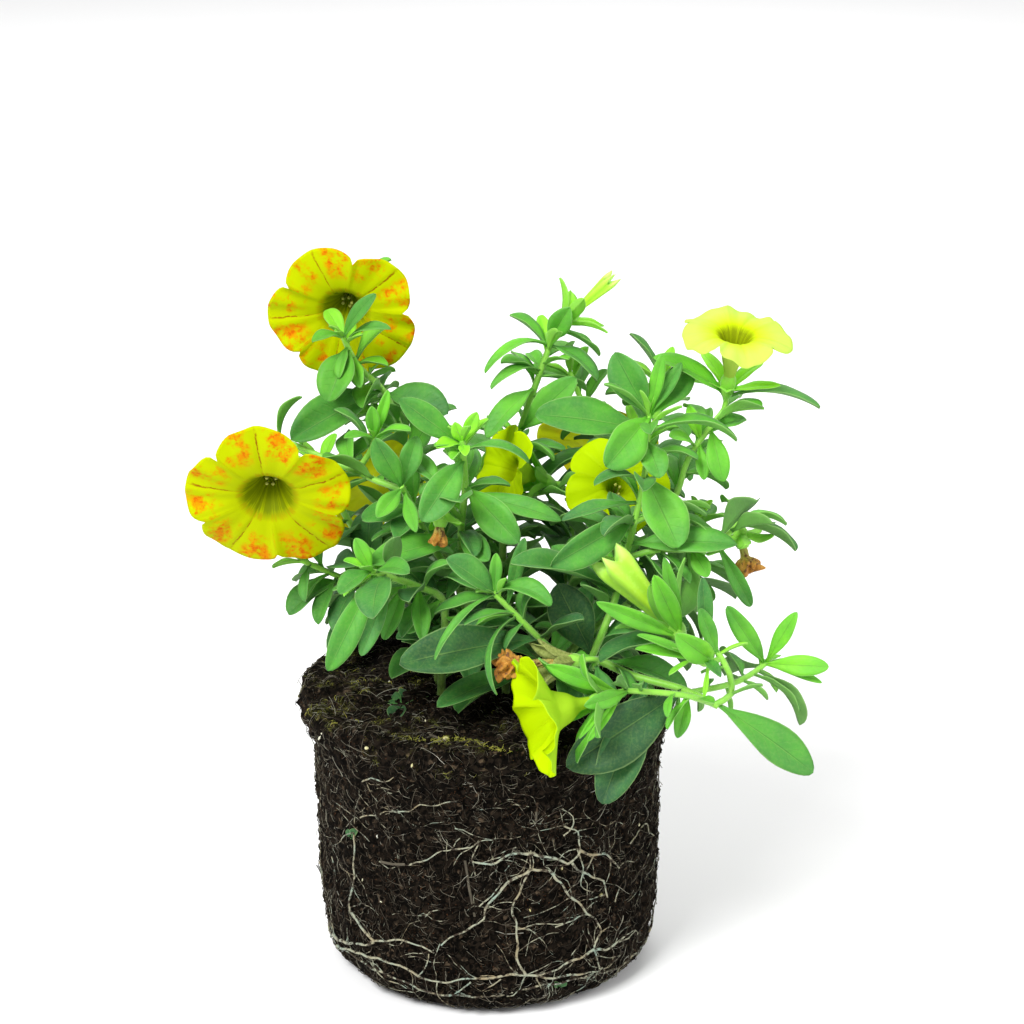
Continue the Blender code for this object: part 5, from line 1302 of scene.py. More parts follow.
across, face, droop, long = own("across"), own("under"), own("droop"), own("long")
t = 1.0 - (1.0 - own("along")) ** 1.5
arch = (own("base") + (1.0 - own("base")) * t**1.4) * math.pi
half = own("wide") * 0.5 * arch.work("SINE", arch) ** (own("round") + (1.0 - t) * own("taper"))
half = half.work("MAXIMUM", half, (1.0 - t) * 0.5 * MM)
turn = droop * t
sine, cosine = turn.work("SINE", turn), turn.work("COSINE", turn)
forward, up, side = own("forward", "FLOAT_VECTOR"), own("up", "FLOAT_VECTOR"), own("side", "FLOAT_VECTOR")
centre = own("root", "FLOAT_VECTOR") + (forward * (sine / droop) - up * ((1.0 - cosine) / droop)) * long
lift = up * cosine + forward * sine
twist = own("twist") * t
sine, cosine = twist.work("SINE", twist), twist.work("COSINE", twist)
beam, lift = side * cosine + lift * sine, lift * cosine - side * sine
edge = abs(across)
wave = t * 13.0 + own("phase") + across * 2.0
wave = wave.work("SINE", wave) * edge * edge * own("wide") * given["Ripple"]
groove = edge.ranged(0.16, 0.0) * 0.2 * MM * (1.0 - t * 0.6)
rise = half * edge**1.3 * own("fold") - edge**4.0 * half * own("curl") + wave - groove
thick = given["Rim"] + (given["Middle"] - given["Rim"]) * (1.0 - edge)
point = centre + beam * (half * across) + lift * (rise + (face - 0.5) * thick)
blades = spread.node("GeometryNodeSetPosition", None, {"Geometry": spread, "Position": point})
leaf_tree = closed(blades, given["Material"])


def clamp(value):
    return max(0.0, min(1.0, value))


def blade_roots(name, blades, draw):
    """One point for each blade, which holds the numbers that its shape follows from."""
    mesh = bpy.data.meshes.new(name)
    mesh.from_pydata([blade.root * MM for blade in blades], [], [])
    numbers = {
        "long": [blade.long * MM for blade in blades],
        "wide": [blade.wide * MM * blade.spread for blade in blades],
        "droop": [blade.droop for blade in blades],
        "fold": [math.tan(blade.fold) + draw.uniform(0.2, 0.6) for blade in blades],
        "curl": [draw.uniform(0.0, 0.22) for blade in blades],
        "twist": [draw.uniform(-0.45, 0.45) for blade in blades],
        "phase": [draw.uniform(0.0, 6.28) for blade in blades],
        "base": [0.2 if blade.sepal else 0.0 for blade in blades],
        "round": [0.8 if blade.sepal else draw.uniform(0.5, 0.62) for blade in blades],
        "taper": [0.0 if blade.sepal else draw.uniform(0.3, 0.5) for blade in blades],
        "tone": [blade_age_and_shade(blade, draw) for blade in blades],
        "dry": [blade.dry for blade in blades],
        "cool": [draw.uniform(0.0, 1.0) for _ in blades],
    }
    marked(mesh, **numbers)
    for name in ("root", "forward", "up", "side"):
        values = [getattr(blade, name) * (MM if name == "root" else 1.0) for blade in blades]
        flat = [part for value in values for part in value]
        mesh.attributes.new(name, "FLOAT_VECTOR", "POINT").data.foreach_set("vector", flat)
    return mesh


def blade_age_and_shade(blade, draw):
    """A blade's tone, from 0, dark, to 1, bright: small and high ones are young, broad low ones old, and the lower a
    blade sits the darker it is, partly with painted shade under the leaves above.
    """
    # Painted shade in part: the lower a blade's root, the darker it is.
    tone = 0.33 + 0.3 * clamp((blade.root.z - 78.0) / 85.0) + 0.26 * clamp((16.0 - blade.long) / 9.0)
    tone -= 0.24 if blade.wide > 9.4 and blade.root.z < 100.0 else 0.0
    tone = tone + (0.3 if blade.young else 0.0) + (0.36 if blade.sepal else 0.0)
    return clamp(tone + draw.uniform(-0.13, 0.13))


def middle_line(blade):
    """Points along a blade's middle, in millimetres."""
    return [blade.at(share) for share in (0.15, 0.4, 0.6, 0.8, 1.0)]


class Room:
    """Where leaves are already, so that a young leaf grows clear of them."""

    def __init__(self, blades, blooms):
        self.lines = [point for blade in blades for point in middle_line(blade)]
        for bloom in blooms:
            for part in (0.2, 0.4, 0.6, 0.8, 1.0):
                wide = bloom.radius * (part if bloom.kind != "open" else max(0.0, part * 5.0 - 4.0))
                for angle in turns(12):
                    for inner in (0.4, 0.7, 1.0):
                        out = bloom.out(angle) * wide * inner
                        self.lines.append(bloom.foot + bloom.axis * bloom.tube_long * part + out)
        self.fresh = []
        self.sort()

    def sort(self):
        self.taken = KDTree(len(self.lines))
        for number, point in enumerate(self.lines):
            self.taken.insert(point, number)
        self.taken.balance()

    def grow(self, blade, clear):
        """Keeps the blade if its middle is that far from every other one, and above the peat."""
        line = middle_line(blade)
        for point in line[1:]:
            if point.z < PEAT_CLEAR[0] and point.xy.length < PEAT_CLEAR[1]:
                return False
            if self.taken.find(point)[2] < clear:
                return False
            if any((point - other).length < clear for other in self.fresh):
                return False
        self.fresh += line
        if len(self.fresh) > FRESH_MOST:
            self.lines += self.fresh
            self.fresh = []
            self.sort()
        return True


def bladed(name, roots, middle, rim, finish):
    """A piece of leaves, from their roots. middle and rim are its thicknesses in millimetres."""
    values = {"Middle": middle * MM, "Rim": rim * MM, "Ripple": 0.03, "Material": finish}
    return grown(name, roots, leaf_tree, **values)


def young_leaves(stem, room):
    """Leaves and small side tufts in the gaps along a stem's shoots."""
    draw = random.Random(stem.name + "young")
    young = []
    for route, wide, thin, old, _ in stem.strands:
        ways = directions(route)
        lengths = measured(route)
        along = 12.0 if wide > 0.85 else 5.0
        while along < lengths[-1] - 1.0:
            i, t = part_at(lengths, along)
            point, way = route[i].lerp(route[i + 1], t), ways[i]
            outer = point.y < OUTER
            side = way.orthogonal().normalized()
            for _ in range(YOUNG_TRIES):
                out = Matrix.Rotation(draw.uniform(0.0, 6.28), 3, way) @ side
                lean = math.radians(draw.uniform(32.0, 78.0))
                forward = way * math.cos(lean) + out * math.sin(lean)
                up = Vector((0.0, 0.0, 0.75)) + way * 0.45
                high = clamp((point.z - 80.0) / 70.0)
                long = draw.uniform(6.0, 11.0) if outer else draw.uniform(9.0, 25.0 - 11.0 * high)
                wide = long * (draw.uniform(0.2, 0.3) if outer else draw.uniform(0.3, 0.42))
                droop = math.radians(draw.uniform(15.0, 60.0))
                blade = Blade(point + out * 0.4, forward, up, long, wide, droop, way)
                if forward.cross(up).length > 0.2 and room.grow(blade, 2.6 + 0.05 * long):
                    young.append(blade)
                    break
            along += draw.uniform(1.6, 4.2) * (2.0 if outer else 1.0)
    return young


room = Room([blade for stem in plant for blade in stem.blades], blooms)
for stem in plant:
    stem.blades += young_leaves(stem, room)
    roots = blade_roots("roots", stem.blades, stem.draw)
    leaves = bladed(stem.name + "_leaves", roots, 0.5, 0.22, leaf_finishes[slots[stem.name]])
    fixed(leaves, slots[stem.name], stem.name)

# Seedlings, splinters, bright moss and pale grains on the ball.
# Weed seedlings with round leaves stand in the hollow and lower down, splinters of wood and pale grains are
# stuck in the peat, and bright moss grows in a line along the front of the brim.
SEEDLINGS = (  # where each is rooted, then the tips of its leaves, in the picture
    ((402, 705), ((419, 690), (390, 697), (394, 716))),
    ((352, 838), ((349, 831), (356, 832))),
    ((559, 988), ((564, 982), (555, 982))),
)
SPLINTERS = (
    ((465, 861), (467, 874), (469, 886), (472, 901), (475, 916)),
    ((381, 862), (393, 864), (405, 864)),
    ((536, 812), (536, 820)),
    ((430, 735), (445, 741), (458, 739)),
)
MOSS_LINE = (  # places in the picture, and the threads from each to the next one
    ((404, 737), 16),
    ((420, 741), 16),
    ((437, 741), 34),
    ((447, 739), 30),
    ((461, 740), 36),
    ((477, 742), 16),
    ((489, 748), 22),
    ((502, 750), 6),
    ((520, 752), 0),
)
SPECKS = ((446, 739, 0.9), (367, 748, 0.7), (399, 690, 0.5))  # place in the picture, size

surface = BVHTree.FromPolygons(
    [corner.co.copy() for corner in ball.data.vertices], [tuple(face.vertices) for face in ball.data.polygons]
)


def hit(across, down):
    """The point of the peat that is seen at that place, and the way out of the peat there."""
    spot, out, _, _ = surface.ray_cast(EYE * MM, (seen(across, down, 0) - EYE).normalized())
    return spot / MM, out


seedlings = []
for root, tips in SEEDLINGS:
    spot, out = hit(*root)
    for tip in tips:
        end = hit(*tip)[0] + out * 1.2
        long = (end - spot).length
        seedlings.append(Blade(spot - out * 0.4, end - spot, out, long + 0.4, long * 0.62, 0.5, out))
roots = blade_roots("roots", seedlings, random.Random("seedlings"))
roots.attributes["tone"].data.foreach_set("value", [0.12] * len(seedlings))
fixed(bladed("seedlings", roots, 0.4, 0.2, leaf_finishes["leaf"]), "leaf")

runs = []
for places in SPLINTERS:
    line = [hit(*place) for place in places]
    runs.append(([spot + out * 0.1 for spot, out in line], [0.36] * len(line), [0.5] * len(line)))
fixed(strung("splinters", runs, 5, fibre, 0.3, 300.0), "peat")

draw = random.Random("bright moss")
runs = []
for (start, threads), (end, _) in zip(MOSS_LINE, MOSS_LINE[1:]):
    for _ in range(threads):
        part = draw.random()
        spot, out = hit(*(a + (b - a) * part + draw.uniform(-1.9, 1.9) for a, b in zip(start, end)))
        way = Vector((draw.uniform(-1.0, 1.0), draw.uniform(-1.0, 1.0), draw.uniform(-0.5, 0.5)))
        reached = spot + out * 0.25 + way * draw.uniform(0.7, 1.6)
        thread = [spot - out * 0.3, spot + out * 0.35 + way * 0.3, reached]
        runs.append((thread, [0.11, 0.1, 0.04], [draw.uniform(0.6, 1.0)] * 3))
fixed(strung("moss_line", runs, 3, moss, 0.3, 300.0), "peat")

runs = []
for across, down, size in SPECKS:
    spot, out = hit(across, down)
    line = [spot + out * 0.2 + RIGHT * size * step for step in (-0.7, -0.45, 0.0, 0.45, 0.7)]
    runs.append((line, [size * share for share in (0.2, 0.5, 0.62, 0.5, 0.2)], [0.88] * 5))
fixed(strung("specks", runs, 7, bark, 0.5, 900.0), "peat")

# Open blooms.
# Each corolla is one thin, soft sheet: a slim tube that opens into a funnel and five joined lobes, with a
# crease along each lobe. The tube grows out of the calyx. Some are veined and blotched with red, some plain.
PETAL_WALL = 0.65
PETAL_SIDES = 120
LOBES = 5


def in_lobe(angle):
    """Where an angle lies across its lobe: -1 at one notch, 0 on its midline, 1 at the next notch."""
    return (angle * LOBES / math.pi) % 2.0 - 1.0


def petal_finish(name, limb, ring, throat, back, red):
    """Thin yellow petals, with painted shade deep inside the tube. red is how strongly the midlines and blotches are
    marked.
    """
    petal = Finish(name)
    lobe, reach, inside = petal.read("lobe"), petal.read("reach"), petal.read("inside")
    middle = abs(lobe)
    cloud = petal.place.grain(5.0, 4.0, 0.6)
    fine = petal.place.grain(1.2, 3.0, 0.6)
    fan = petal.pen.node("ShaderNodeCombineXYZ", None, {0: lobe * 9.0, 1: reach * 1.6, 2: cloud})
    fan = petal.pen.node("ShaderNodeTexNoise", None, {"Vector": fan, "Scale": 1.0, "Detail": 3.0})
    depth = reach + (fan - 0.5) * 0.16
    # Painted shade: the throat deep in the tube is much darker than the limb.
    depth = depth.ramp((0.1, throat), (0.26, throat), (0.36, ring), (0.75, limb), (1.0, limb))
    veins = (fan.ranged(0.5, 0.62) * reach.ranged(1.0, 0.4) * 0.35).blend(depth, ring)
    netted = petal.place.grain(2.6, 4.0, 0.7).ranged(0.36, 0.58)
    patch = cloud.ranged(0.41, 0.58) * reach.ranged(0.46, 0.7)
    patch = patch * middle.ranged(0.08, 0.3) * middle.ranged(0.98, 0.75)
    blotched = (patch * netted * red * 0.95).blend(veins, (0.8, 0.27, 0.001))
    blotched = (patch * netted * fine.ranged(0.48, 0.58) * red * 0.75).blend(blotched, (0.7, 0.1, 0.001))
    bent = abs(lobe + (cloud - 0.5) * 0.16 + (fine - 0.5) * 0.06)
    line = bent.ranged(0.034, 0.006) * reach.ranged(0.33, 0.5) * reach.ranged(1.02, 0.85)
    line = line * fine.ranged(0.3, 0.55)
    lined = (line * red * 0.85).blend(blotched, (0.32, 0.05, 0.003))
    ringed = reach.ranged(0.27, 0.32) * reach.ranged(0.4, 0.34) * fan.ranged(0.42, 0.6) * red * 0.45
    front = ringed.blend(lined, (0.4, 0.12, 0.004))
    sides = inside.ranged(0.4, 0.6).blend(back, front)
    height = fan * 0.6 + fine * 0.3 - middle.ranged(0.1, 0.0)
    values = {
        "Base Color": sides,
        "Roughness": 0.5 + fine * 0.12,
        "Normal": height.bump(0.35, 0.25),
        "Specular IOR Level": 0.04,
    }
    return petal.wear(values, through=0.35)


# Colours of the limb, of the ring round the throat, of the throat, darkened with painted shade inside the tube, and of
# the back, and how red it is marked.
PETALS = {
    "veined": ((0.57, 0.65, 0.0), (0.5, 0.58, 0.0), (0.2, 0.25, 0.001), (0.55, 0.62, 0.01), 1.0),
    "lemon": ((0.63, 0.86, 0.13), (0.61, 0.76, 0.005), (0.28, 0.34, 0.004), (0.58, 0.76, 0.12), 0.04),
    "lime": ((0.57, 0.77, 0.001), (0.51, 0.7, 0.001), (0.4, 0.54, 0.001), (0.48, 0.75, 0.03), 0.0),
}
PETAL_KINDS = {
    "bloom_left": "veined",
    "bloom_back_left": "veined",
    "bloom_rear_left": "veined",
    "bloom_rear_right": "veined",
    "bloom_right": "lemon",
}
petal_finishes = {kind: petal_finish("petal_" + kind, *look) for kind, look in PETALS.items()}

CUPS = {  # how far a limb is still a cup, how far its lobes are turned round and how deep they are notched
    "bloom_front": (1.0, 0.5, 0.34),
    "bloom_left": (0.1, -0.22, 0.2),
    "bloom_back_left": (0.3, 0.0, 0.2),
    "bloom_back_middle": (0.6, 0.0, 0.2),
}
FLAT_LIMB = (0.0, 0.0, 0.2)
LEANS = {"bloom_front": (-9.0, "Z"), "bloom_left": (6.0, "X")}  # degrees that a corolla leans, and the axis


def profile(outline, step):
    """A smooth line through the corners of an outline, each a distance along the axis and one from it."""
    return [point.xy for point in smooth([Vector((*spot, 0.0)) for spot in outline], step)]


def leant(bloom, point):
    """Where a point of a corolla comes to lie when it leans in its calyx."""
    degrees, axis = LEANS.get(bloom.name, (0.0, "Z"))
    return bloom.foot + Matrix.Rotation(math.radians(degrees), 3, axis) @ (point - bloom.foot)


def open_corolla(bloom):
    """A funnel: a slim tube that opens into five joined lobes, notched between them."""
    finish = petal_finishes[PETAL_KINDS.get(bloom.name, "lime")]
    reach, size = bloom.tube_long, bloom.radius
    cup, turned, deep = CUPS.get(bloom.name, FLAT_LIMB)
    draw = random.Random(bloom.name + "petals")
    outline = [(0.35, 1.0), (reach * 0.3, 1.5), (reach * (0.55 - 0.1 * cup), 2.5 + 0.8 * cup)]
    outline.append((reach * (0.8 - 0.2 * cup), size * 0.23 + 0.8 * cup))
    outline.append((reach * (0.96 - 0.28 * cup), size * 0.36))
    outline.append((reach * (1.02 - 0.2 * cup), size * 0.66))
    outline.append((reach * (1.02 - 0.06 * cup), size * (1.0 - 0.05 * cup)))
    outer = profile(outline, 0.75)
    inner = []
    for i, spot in enumerate(outer):
        way = (outer[min(i + 1, len(outer) - 1)] - outer[max(i - 1, 0)]).normalized()
        wall = PETAL_WALL * (0.7 - 0.45 * i / len(outer))
        inner.append(Vector((spot.x + wall * way.y, max(0.35, spot.y - wall * way.x))))
    inner[0] = Vector((1.4, 0.35))
    sways = [(draw.uniform(-0.7, 0.7), draw.uniform(0.96, 1.05)) for _ in range(LOBES)]
    ruffle = draw.uniform(0.0, 6.28)
    angles = turns(PETAL_SIDES)
    rings, marks = [], {"lobe": [], "reach": [], "inside": []}
    for inside, spots_along in ((0.0, outer), (1.0, inner[::-1])):
        for spot in spots_along:
            lobed = clamp((spot.y / size - 0.3) / 0.7)
            ring = []
            for angle in angles:
                notch = abs(math.sin(2.5 * angle))
                petal = math.sqrt(1.0 - in_lobe(angle) ** 2)
                sway, stretch = sways[int(angle * LOBES / (2.0 * math.pi)) % LOBES]
                factor = 1.02 - deep * lobed * (1.0 - petal) + (stretch - 1.0) * lobed * notch**2
                rise = (0.5 - petal) * 1.6 * lobed + (sway * notch - 0.9 * notch**3) * lobed**2
                ruffled = 0.6 * lobed**2 * math.sin(11.0 * angle + ruffle) * math.sin(4.0 * angle)
                rise += (ruffled + 0.3 * lobed * math.sin(17.0 * angle + ruffle * 2.0)) * size / 20.0
                crease = 0.5 * max(0.0, 1.0 - abs(in_lobe(angle)) / 0.14)
                crease = crease * (1.0 - lobed * 0.6) * spot.y / size
                out = bloom.out(angle + turned)
                point = bloom.foot + bloom.axis * (spot.x + rise - crease) + out * spot.y * factor
                ring.append(leant(bloom, point))
                marks["lobe"].append(in_lobe(angle))
                marks["reach"].append(spot.y / size)
                marks["inside"].append(inside)
            rings.append(ring)
    mesh = skin(bloom.name + "_petals", rings, finish)
    marked(mesh, **marks)
    return mesh


def seated(kind, slot, form):
    """A piece for each bloom of that kind, on the foot that it has in its calyx."""
    for bloom in blooms:
        if bloom.kind == kind:
            mesh = form(bloom)
            fixed(placed(mesh.name, mesh), slot, bloom.name)


seated("open", "petal", open_corolla)

# Stamens.
# Five short threads inside each tube, with a pale anther at the end of each, just below the throat's mouth.
anther = Finish("anther_pale")
colours = anther.place.grain(0.5).blend((0.36, 0.4, 0.04), (0.5, 0.5, 0.12))
anther.wear({"Base Color": colours, "Roughness": 0.6})
STAMENS = 5
STAMEN = (  # how far from the anther, and the radius there
    *((-6.0, 0.18), (-3.0, 0.18), (-1.0, 0.18), (-0.4, 0.22)),
    *((-0.1, 0.4), (0.2, 0.46), (0.5, 0.38), (0.7, 0.12)),
)
radii = [radius for _, radius in STAMEN]
runs = []
for bloom in blooms:
    if bloom.kind == "open":
        draw = random.Random(bloom.name + "stamens")
        cup = CUPS.get(bloom.name, FLAT_LIMB)[0]
        for angle in turns(STAMENS):
            out = bloom.out(angle + draw.uniform(-0.3, 0.3))
            high = bloom.tube_long * (draw.uniform(0.52, 0.66) - 0.12 * cup)
            route = []
            for along, _ in STAMEN:
                point = bloom.foot + bloom.axis * (high + along) + out * (1.3 + 0.1 * along)
                route.append(leant(bloom, point))
            runs.append((route, radii, [1.0] * len(radii)))
fixed(strung("stamens", runs, 6, anther), "petal")

# Buds.
# A bud is the corolla still closed: pleated along its length, yellow-green with painted shade in the grooves of its
# pleats, its lobes just parting at the tip, which is paler partly with a painted highlight. It stands in its calyx as
# a bloom does.
BUD_SIDES = 60

bud = Finish("bud_pleated")
reach, lobe = bud.read("reach"), abs(bud.read("lobe"))
streaks = bud.place.grain(1.3, 3.0, 0.6)
# The palest stop, at the tip, is partly the lips' own paler colour and partly a painted highlight.
colours = reach.ramp(
    (0.0, (0.34, 0.62, 0.02)),
    (0.45, (0.5, 0.82, 0.03)),
    (0.85, (0.53, 0.92, 0.07)),
    (1.0, (0.62, 0.96, 0.2)),
)
# Painted shade: the grooves between the pleats are darker green.
colours = (lobe.ranged(0.55, 1.0) * 0.7).blend(colours, (0.34, 0.68, 0.02))
colours = (streaks.ranged(0.5, 0.7) * 0.3).blend(colours, (0.6, 0.94, 0.14))
values = {"Base Color": colours, "Roughness": 0.5, "Normal": streaks.bump(0.3, 0.2), "Sheen Weight": 0.2}
bud.wear(values, through=0.25)


def bud_form(bloom):
    """A pleated spindle with five pointed lips that part at its end."""
    long, wide = bloom.tube_long, bloom.radius
    outline = [(0.35, 0.2), (0.12 * long, 0.3), (0.3 * long, 0.5), (0.6 * long, 0.8), (0.8 * long, 1.0)]
    outline += [(0.9 * long, 1.0), (long, 0.86)]
    inside = [(0.97 * long, 0.6), (0.93 * long, 0.42), (0.9 * long, 0.25), (0.87 * long, 0.1)]
    curve = profile(outline, 1.0)
    rings, marks = [], {"lobe": [], "reach": []}
    for spot in curve + [Vector(spot) for spot in inside]:
        open_end = max(0.0, (spot.x / long - 0.72) / 0.28)
        ring = []
        for angle in turns(BUD_SIDES):
            notch = abs(math.sin(2.5 * angle))
            pleat = 1.0 - (0.16 + 0.14 * open_end) * notch**1.5 * min(1.0, spot.x / long * 3.0)
            rise = -3.4 * notch * open_end**2
            ring.append(bloom.foot + bloom.axis * (spot.x + rise) + bloom.out(angle) * wide * spot.y * pleat)
            marks["lobe"].append(notch)
            marks["reach"].append(spot.x / long)
        rings.append(ring)
    mesh = skin(bloom.name + "_pleats", rings, bud.material)
    marked(mesh, **marks)
    return mesh


seated("bud", "bud", bud_form)

# Withered blooms.
# A corolla that is over shrinks to a dry tube with a crumpled, rust-brown head, and stays in its calyx.
SPENT_SIDES = 56

dry = Finish("petal_withered")
reach = dry.read("reach")
crumple = dry.place.grain(1.6, 4.0, 0.65)
colours = reach.ramp(
    (0.0, (0.3, 0.34, 0.08)),
    (0.55, (0.5, 0.42, 0.1)),
    (0.72, (0.56, 0.28, 0.04)),
    (1.0, (0.5, 0.2, 0.02)),
)
colours = crumple.ranged(0.52, 0.62).blend(colours, (0.17, 0.07, 0.02))
colours = (crumple.ranged(0.46, 0.36) * 0.6).blend(colours, (0.8, 0.46, 0.09))
dry.wear({"Base Color": colours, "Roughness": 0.7, "Normal": crumple.bump(0.9, 0.6)}, through=0.15)


def spent_form(bloom):
    """A shrunken tube with a crumpled head."""
    draw = random.Random(bloom.name + "folds")
    long = bloom.tube_long
    wide = bloom.radius * (0.75 if bloom.name == "spent_left" else 1.0)
    outline = [(0.35, 0.8), (long * 0.35, 0.9), (long * 0.6, 1.1), (long * 0.7, wide * 0.75)]
    outline += [(long * 0.82, wide), (long * 0.93, wide * 0.9), (long, wide * 0.6), (long * 1.0, wide * 0.25)]
    curve = profile(outline, 0.3)
    folds = [(draw.randint(3, 9), draw.uniform(0.0, 6.28), draw.uniform(-2.6, 2.6)) for _ in range(7)]
    rings, shades = [], []
    for spot in curve:
        head = clamp((spot.x / long - 0.6) / 0.15)
        ring = []
        for angle in turns(SPENT_SIDES):
            dent = sum(math.sin(n * angle + start + spin * spot.x) for n, start, spin in folds) / 4.5
            radius = spot.y * (1.0 + dent * (0.25 + 0.3 * head))
            rise = head * (0.5 * math.sin(3.0 * angle + spot.x) + 0.5 * dent)
            ring.append(bloom.foot + bloom.axis * (spot.x + rise) + bloom.out(angle) * radius)
            shades.append(spot.x / long)
        rings.append(ring)
    mesh = skin(bloom.name + "_husk", rings, dry.material)
    marked(mesh, reach=shades)
    return mesh


seated("spent", "withered", spent_form)

# The larger roots on the ball.
# Pale roots that ran along the pot's wall and floor: a ring round the ball's foot, with branches up its side.
# They are a millimetre thick, lie on the peat and grow out of one another.
ROOT_BEND = 42.0
ROOT_LOWEST = 6.2
ROOT_HIGHEST = 70.0
ROOT_STEP = 11.0
TURN = 2.0 * math.pi
RING_SPOTS = 24
RING_START = 2.75
NEAREST_DEPTH = -52.0
DEPTH_STEP = 0.25
DEPTH_STEPS = 400

rooty = Finish("root_pale")
wash = rooty.place.grain(5.0, 3.0)
dirt = rooty.place.grain(1.4, 4.0, 0.65)
colours = wash.ramp((0.3, (0.26, 0.21, 0.12)), (0.5, (0.31, 0.31, 0.22)), (0.7, (0.24, 0.32, 0.26)))
colours = (dirt - rooty.read("tone") * 0.3).ranged(0.2, 0.36).blend(colours, (0.03, 0.02, 0.012))
values = {"Base Color": colours, "Roughness": 0.6, "Normal": dirt.bump(0.6, 0.3)}
rooty.wear({**values, "Specular IOR Level": 0.2})

root_spots = []


def apart(first, second):
    """How far two spots, each an angle and a height, lie apart on the ball's side."""
    return math.hypot((second[0] - first[0]) * ROOT_BEND, second[1] - first[1])


def on_ball(across, down):
    """The angle and height of the ball's point seen at that place."""
    for step in range(DEPTH_STEPS):
        point = seen(across, down, NEAREST_DEPTH + step * DEPTH_STEP)
        angle = math.atan2(point.y, point.x - BALL_SHIFT * max(0.0, 1.0 - point.z / BALL_HEIGHT))
        if point.z < ROOT_HIGHEST and (point - ball_point(angle, point.z)).xy.dot(point.xy) < 0.0:
            return angle, max(point.z, ROOT_LOWEST)
    raise ValueError("no point of the ball is seen there")


def laid(points, thick, thin, out):
    """A root on the ball through spots. It starts at the nearest spot of the roots laid before."""
    if root_spots:
        points = [min(root_spots, key=lambda spot: apart(spot, points[0])), *points[1:]]
    route = []
    for start, end in zip(points, points[1:]):
        count = max(1, round(apart(start, end) / ROOT_STEP))
        route += [tuple(a + (b - a) * i / count for a, b in zip(start, end)) for i in range(count)]
    route.append(points[-1])
    root_spots.extend(route)
    return route, thick, thin, out


def root_line(run, draw):
    """The root's real line: it wanders a little from spot to spot and hugs the peat."""
    route, thick, thin, out = run
    spread = [Vector((angle * ROOT_BEND, height, 0.0)) for angle, height in route]
    curve = smooth(spread, 1.4)
    sway = [draw.uniform(0.0, 6.28) for _ in range(4)]
    points = []
    for i, spot in enumerate(curve):
        side = 0.35 * math.sin(i * 0.55 + sway[0]) + 0.22 * math.sin(i * 1.3 + sway[1])
        climb = 0.35 * math.sin(i * 0.5 + sway[2]) + 0.22 * math.sin(i * 1.2 + sway[3])
        points.append(ball_point((spot.x + side) / ROOT_BEND, max(1.0, spot.y + climb), out))
    radii = [radius * draw.uniform(0.7, 1.05) for radius in even(len(curve), thick, thin)]
    return points, radii, [0.15 + 0.8 * out] * len(curve)


circle = []
for k in range(RING_SPOTS):
    circle.append((TURN * k / RING_SPOTS - RING_START, ROOT_LOWEST + 1.3 + 1.3 * math.sin(k * 1.3)))
large = [laid([*circle, (circle[0][0] + TURN - 0.12, circle[0][1])], 0.28, 0.28, 0.6)]
SHOWN_ROOTS = [
    [(337, 944), (374, 955), (409, 968), (440, 980), (480, 976)],
    [(480, 976), (526, 974), (576, 974), (597, 968)],
    [(526, 970), (515, 951), (517, 927), (513, 900), (530, 866), (530, 850)],
    [(530, 850), (513, 853), (492, 863), (470, 857), (480, 842)],
    [(530, 850), (550, 858), (569, 861), (578, 848), (574, 832), (563, 826)],
    [(530, 866), (508, 883), (485, 905), (479, 922), (441, 942)],
    [(535, 866), (551, 872), (571, 898), (595, 920), (598, 931), (591, 948), (598, 966)],
    [(591, 948), (610, 945), (623, 934)],
    [(591, 952), (572, 960), (554, 968), (536, 974)],
    [(569, 862), (582, 873), (600, 880), (604, 894)],
    [(578, 850), (591, 853), (606, 857), (617, 866)],
]
large += [laid([on_ball(*spot) for spot in run], 0.4, 0.22, 0.9) for run in SHOWN_ROOTS]
draw = random.Random("roots")
for k in range(5):
    angle = 0.4 + (math.pi + 0.45) * k / 4.0
    height = 7.0
    run = [(angle, height)]
    for _ in range(draw.randint(3, 5)):
        angle += draw.uniform(-0.22, 0.22)
        height += draw.uniform(7.0, 13.0)
        run.append((angle, min(height, 58.0)))
    large.append(laid(run, 0.45, 0.25, 0.9))
    angle, height = run[1]
    fork = [(angle, height), (angle + 0.25, height + 4.0), (angle + 0.42, height + 2.0)]
    large.append(laid(fork, 0.35, 0.2, 0.9))
draw = random.Random("root lines")
roots = strung("roots_large", [root_line(run, draw) for run in large], 7, rooty, 0.7, 260.0)
fixed(roots, "root", "surface_roots")

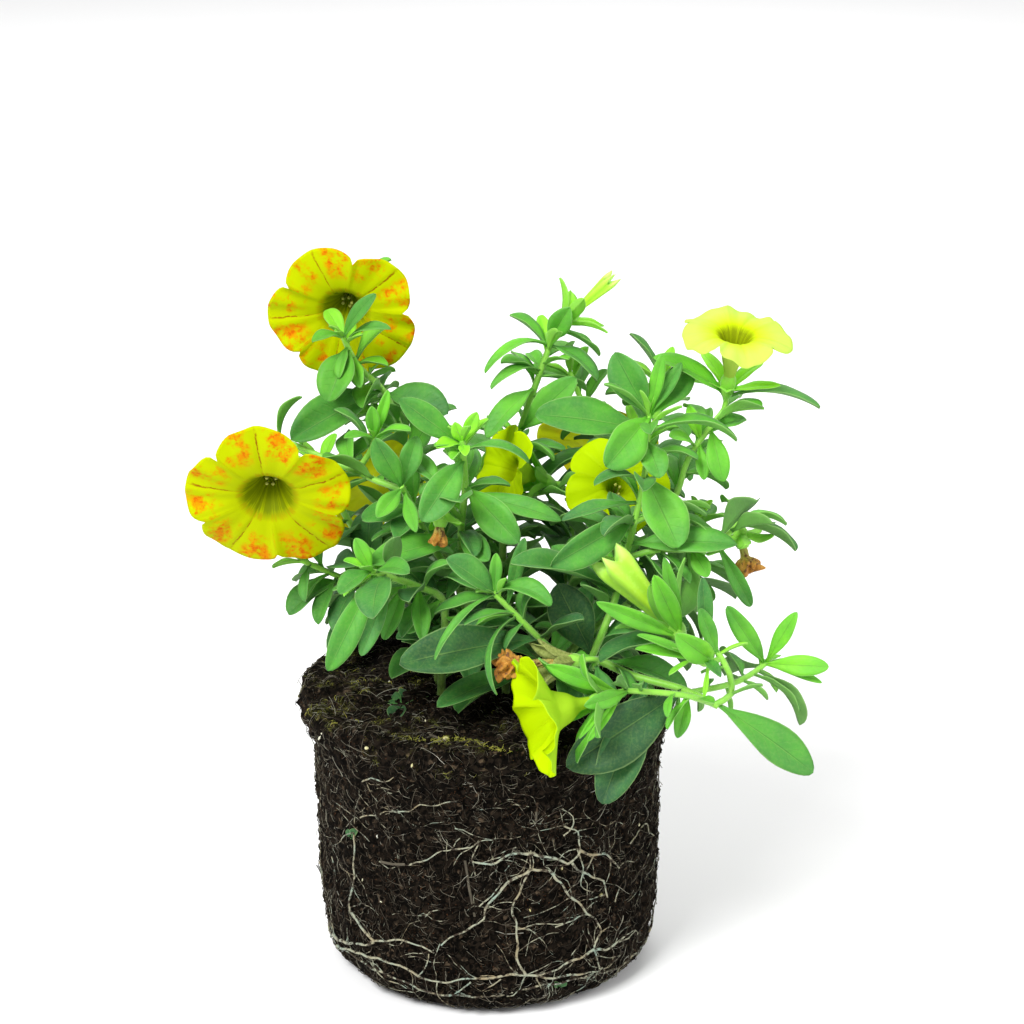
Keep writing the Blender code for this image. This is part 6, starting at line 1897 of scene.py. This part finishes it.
# The fine roots.
# Thin side roots fork off the larger ones and run in and out of the peat, a few tenths of a millimetre thick.
LOOSE_ROOTS = 260
FINE_SHOWN = [
    [(363, 817), (380, 812), (392, 810), (403, 812)],
    [(395, 812), (411, 810), (420, 801), (439, 803), (459, 800)],
    [(365, 783), (374, 778), (383, 779), (395, 775)],
    [(628, 842), (635, 832), (641, 825), (648, 832), (654, 835)],
    [(612, 898), (615, 889), (618, 881)],
    [(374, 962), (389, 977), (409, 990)],
    [(431, 952), (428, 966), (418, 975)],
    [(517, 926), (535, 923), (561, 923)],
    [(526, 975), (513, 994), (506, 1000)],
    [(535, 976), (542, 990)],
    [(414, 863), (432, 855), (452, 848), (462, 836)],
    [(452, 848), (470, 845), (494, 837)],
    [(555, 925), (572, 918), (590, 914)],
    [(610, 945), (622, 938), (632, 930)],
    [(480, 905), (490, 896), (500, 880)],
    [(560, 835), (572, 822), (568, 812), (560, 805)],
    [(575, 850), (580, 865), (578, 880), (590, 892)],
    [(500, 976), (485, 990)],
    [(470, 980), (455, 992), (447, 996)],
    [(600, 965), (588, 985)],
]


def wandering(draw, angle, height, way, long):
    """A fine root from a spot of the ball, which keeps its way more or less."""
    run = [(angle, height)]
    for _ in range(long):
        way += draw.uniform(-0.7, 0.7)
        angle += math.cos(way) * 3.2 / ROOT_BEND
        height = max(1.5, min(69.0, height + math.sin(way) * 3.2))
        run.append((angle, height))
    return run


draw = random.Random("fine roots")
fine = [(run, 0.24, 0.12, 0.9) for run in ([on_ball(*spot) for spot in shown] for shown in FINE_SHOWN)]
for route, _, _, _ in large:
    for spot in route:
        run = wandering(draw, *spot, draw.uniform(0.0, 6.28), draw.randint(2, 4))
        fine.append((run, draw.uniform(0.12, 0.22), 0.06, 0.7))
for _ in range(LOOSE_ROOTS):
    spot = draw.uniform(0.0, 6.28), draw.uniform(4.0, 66.0)
    run = wandering(draw, *spot, draw.uniform(0.0, 6.28), draw.randint(2, 5))
    fine.append((run, draw.uniform(0.08, 0.16), 0.06, draw.uniform(0.3, 0.7)))
roots = strung("roots_fine", [root_line(run, draw) for run in fine], 5, rooty, 1.2, 300.0)
fixed(roots, "root", "surface_roots")

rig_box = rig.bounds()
with open("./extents.json", "w") as sizes_file:
    sizes = {"cad": [list(corner) for corner in cad_box], "visual": [list(corner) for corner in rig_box]}
    json.dump(sizes, sizes_file)
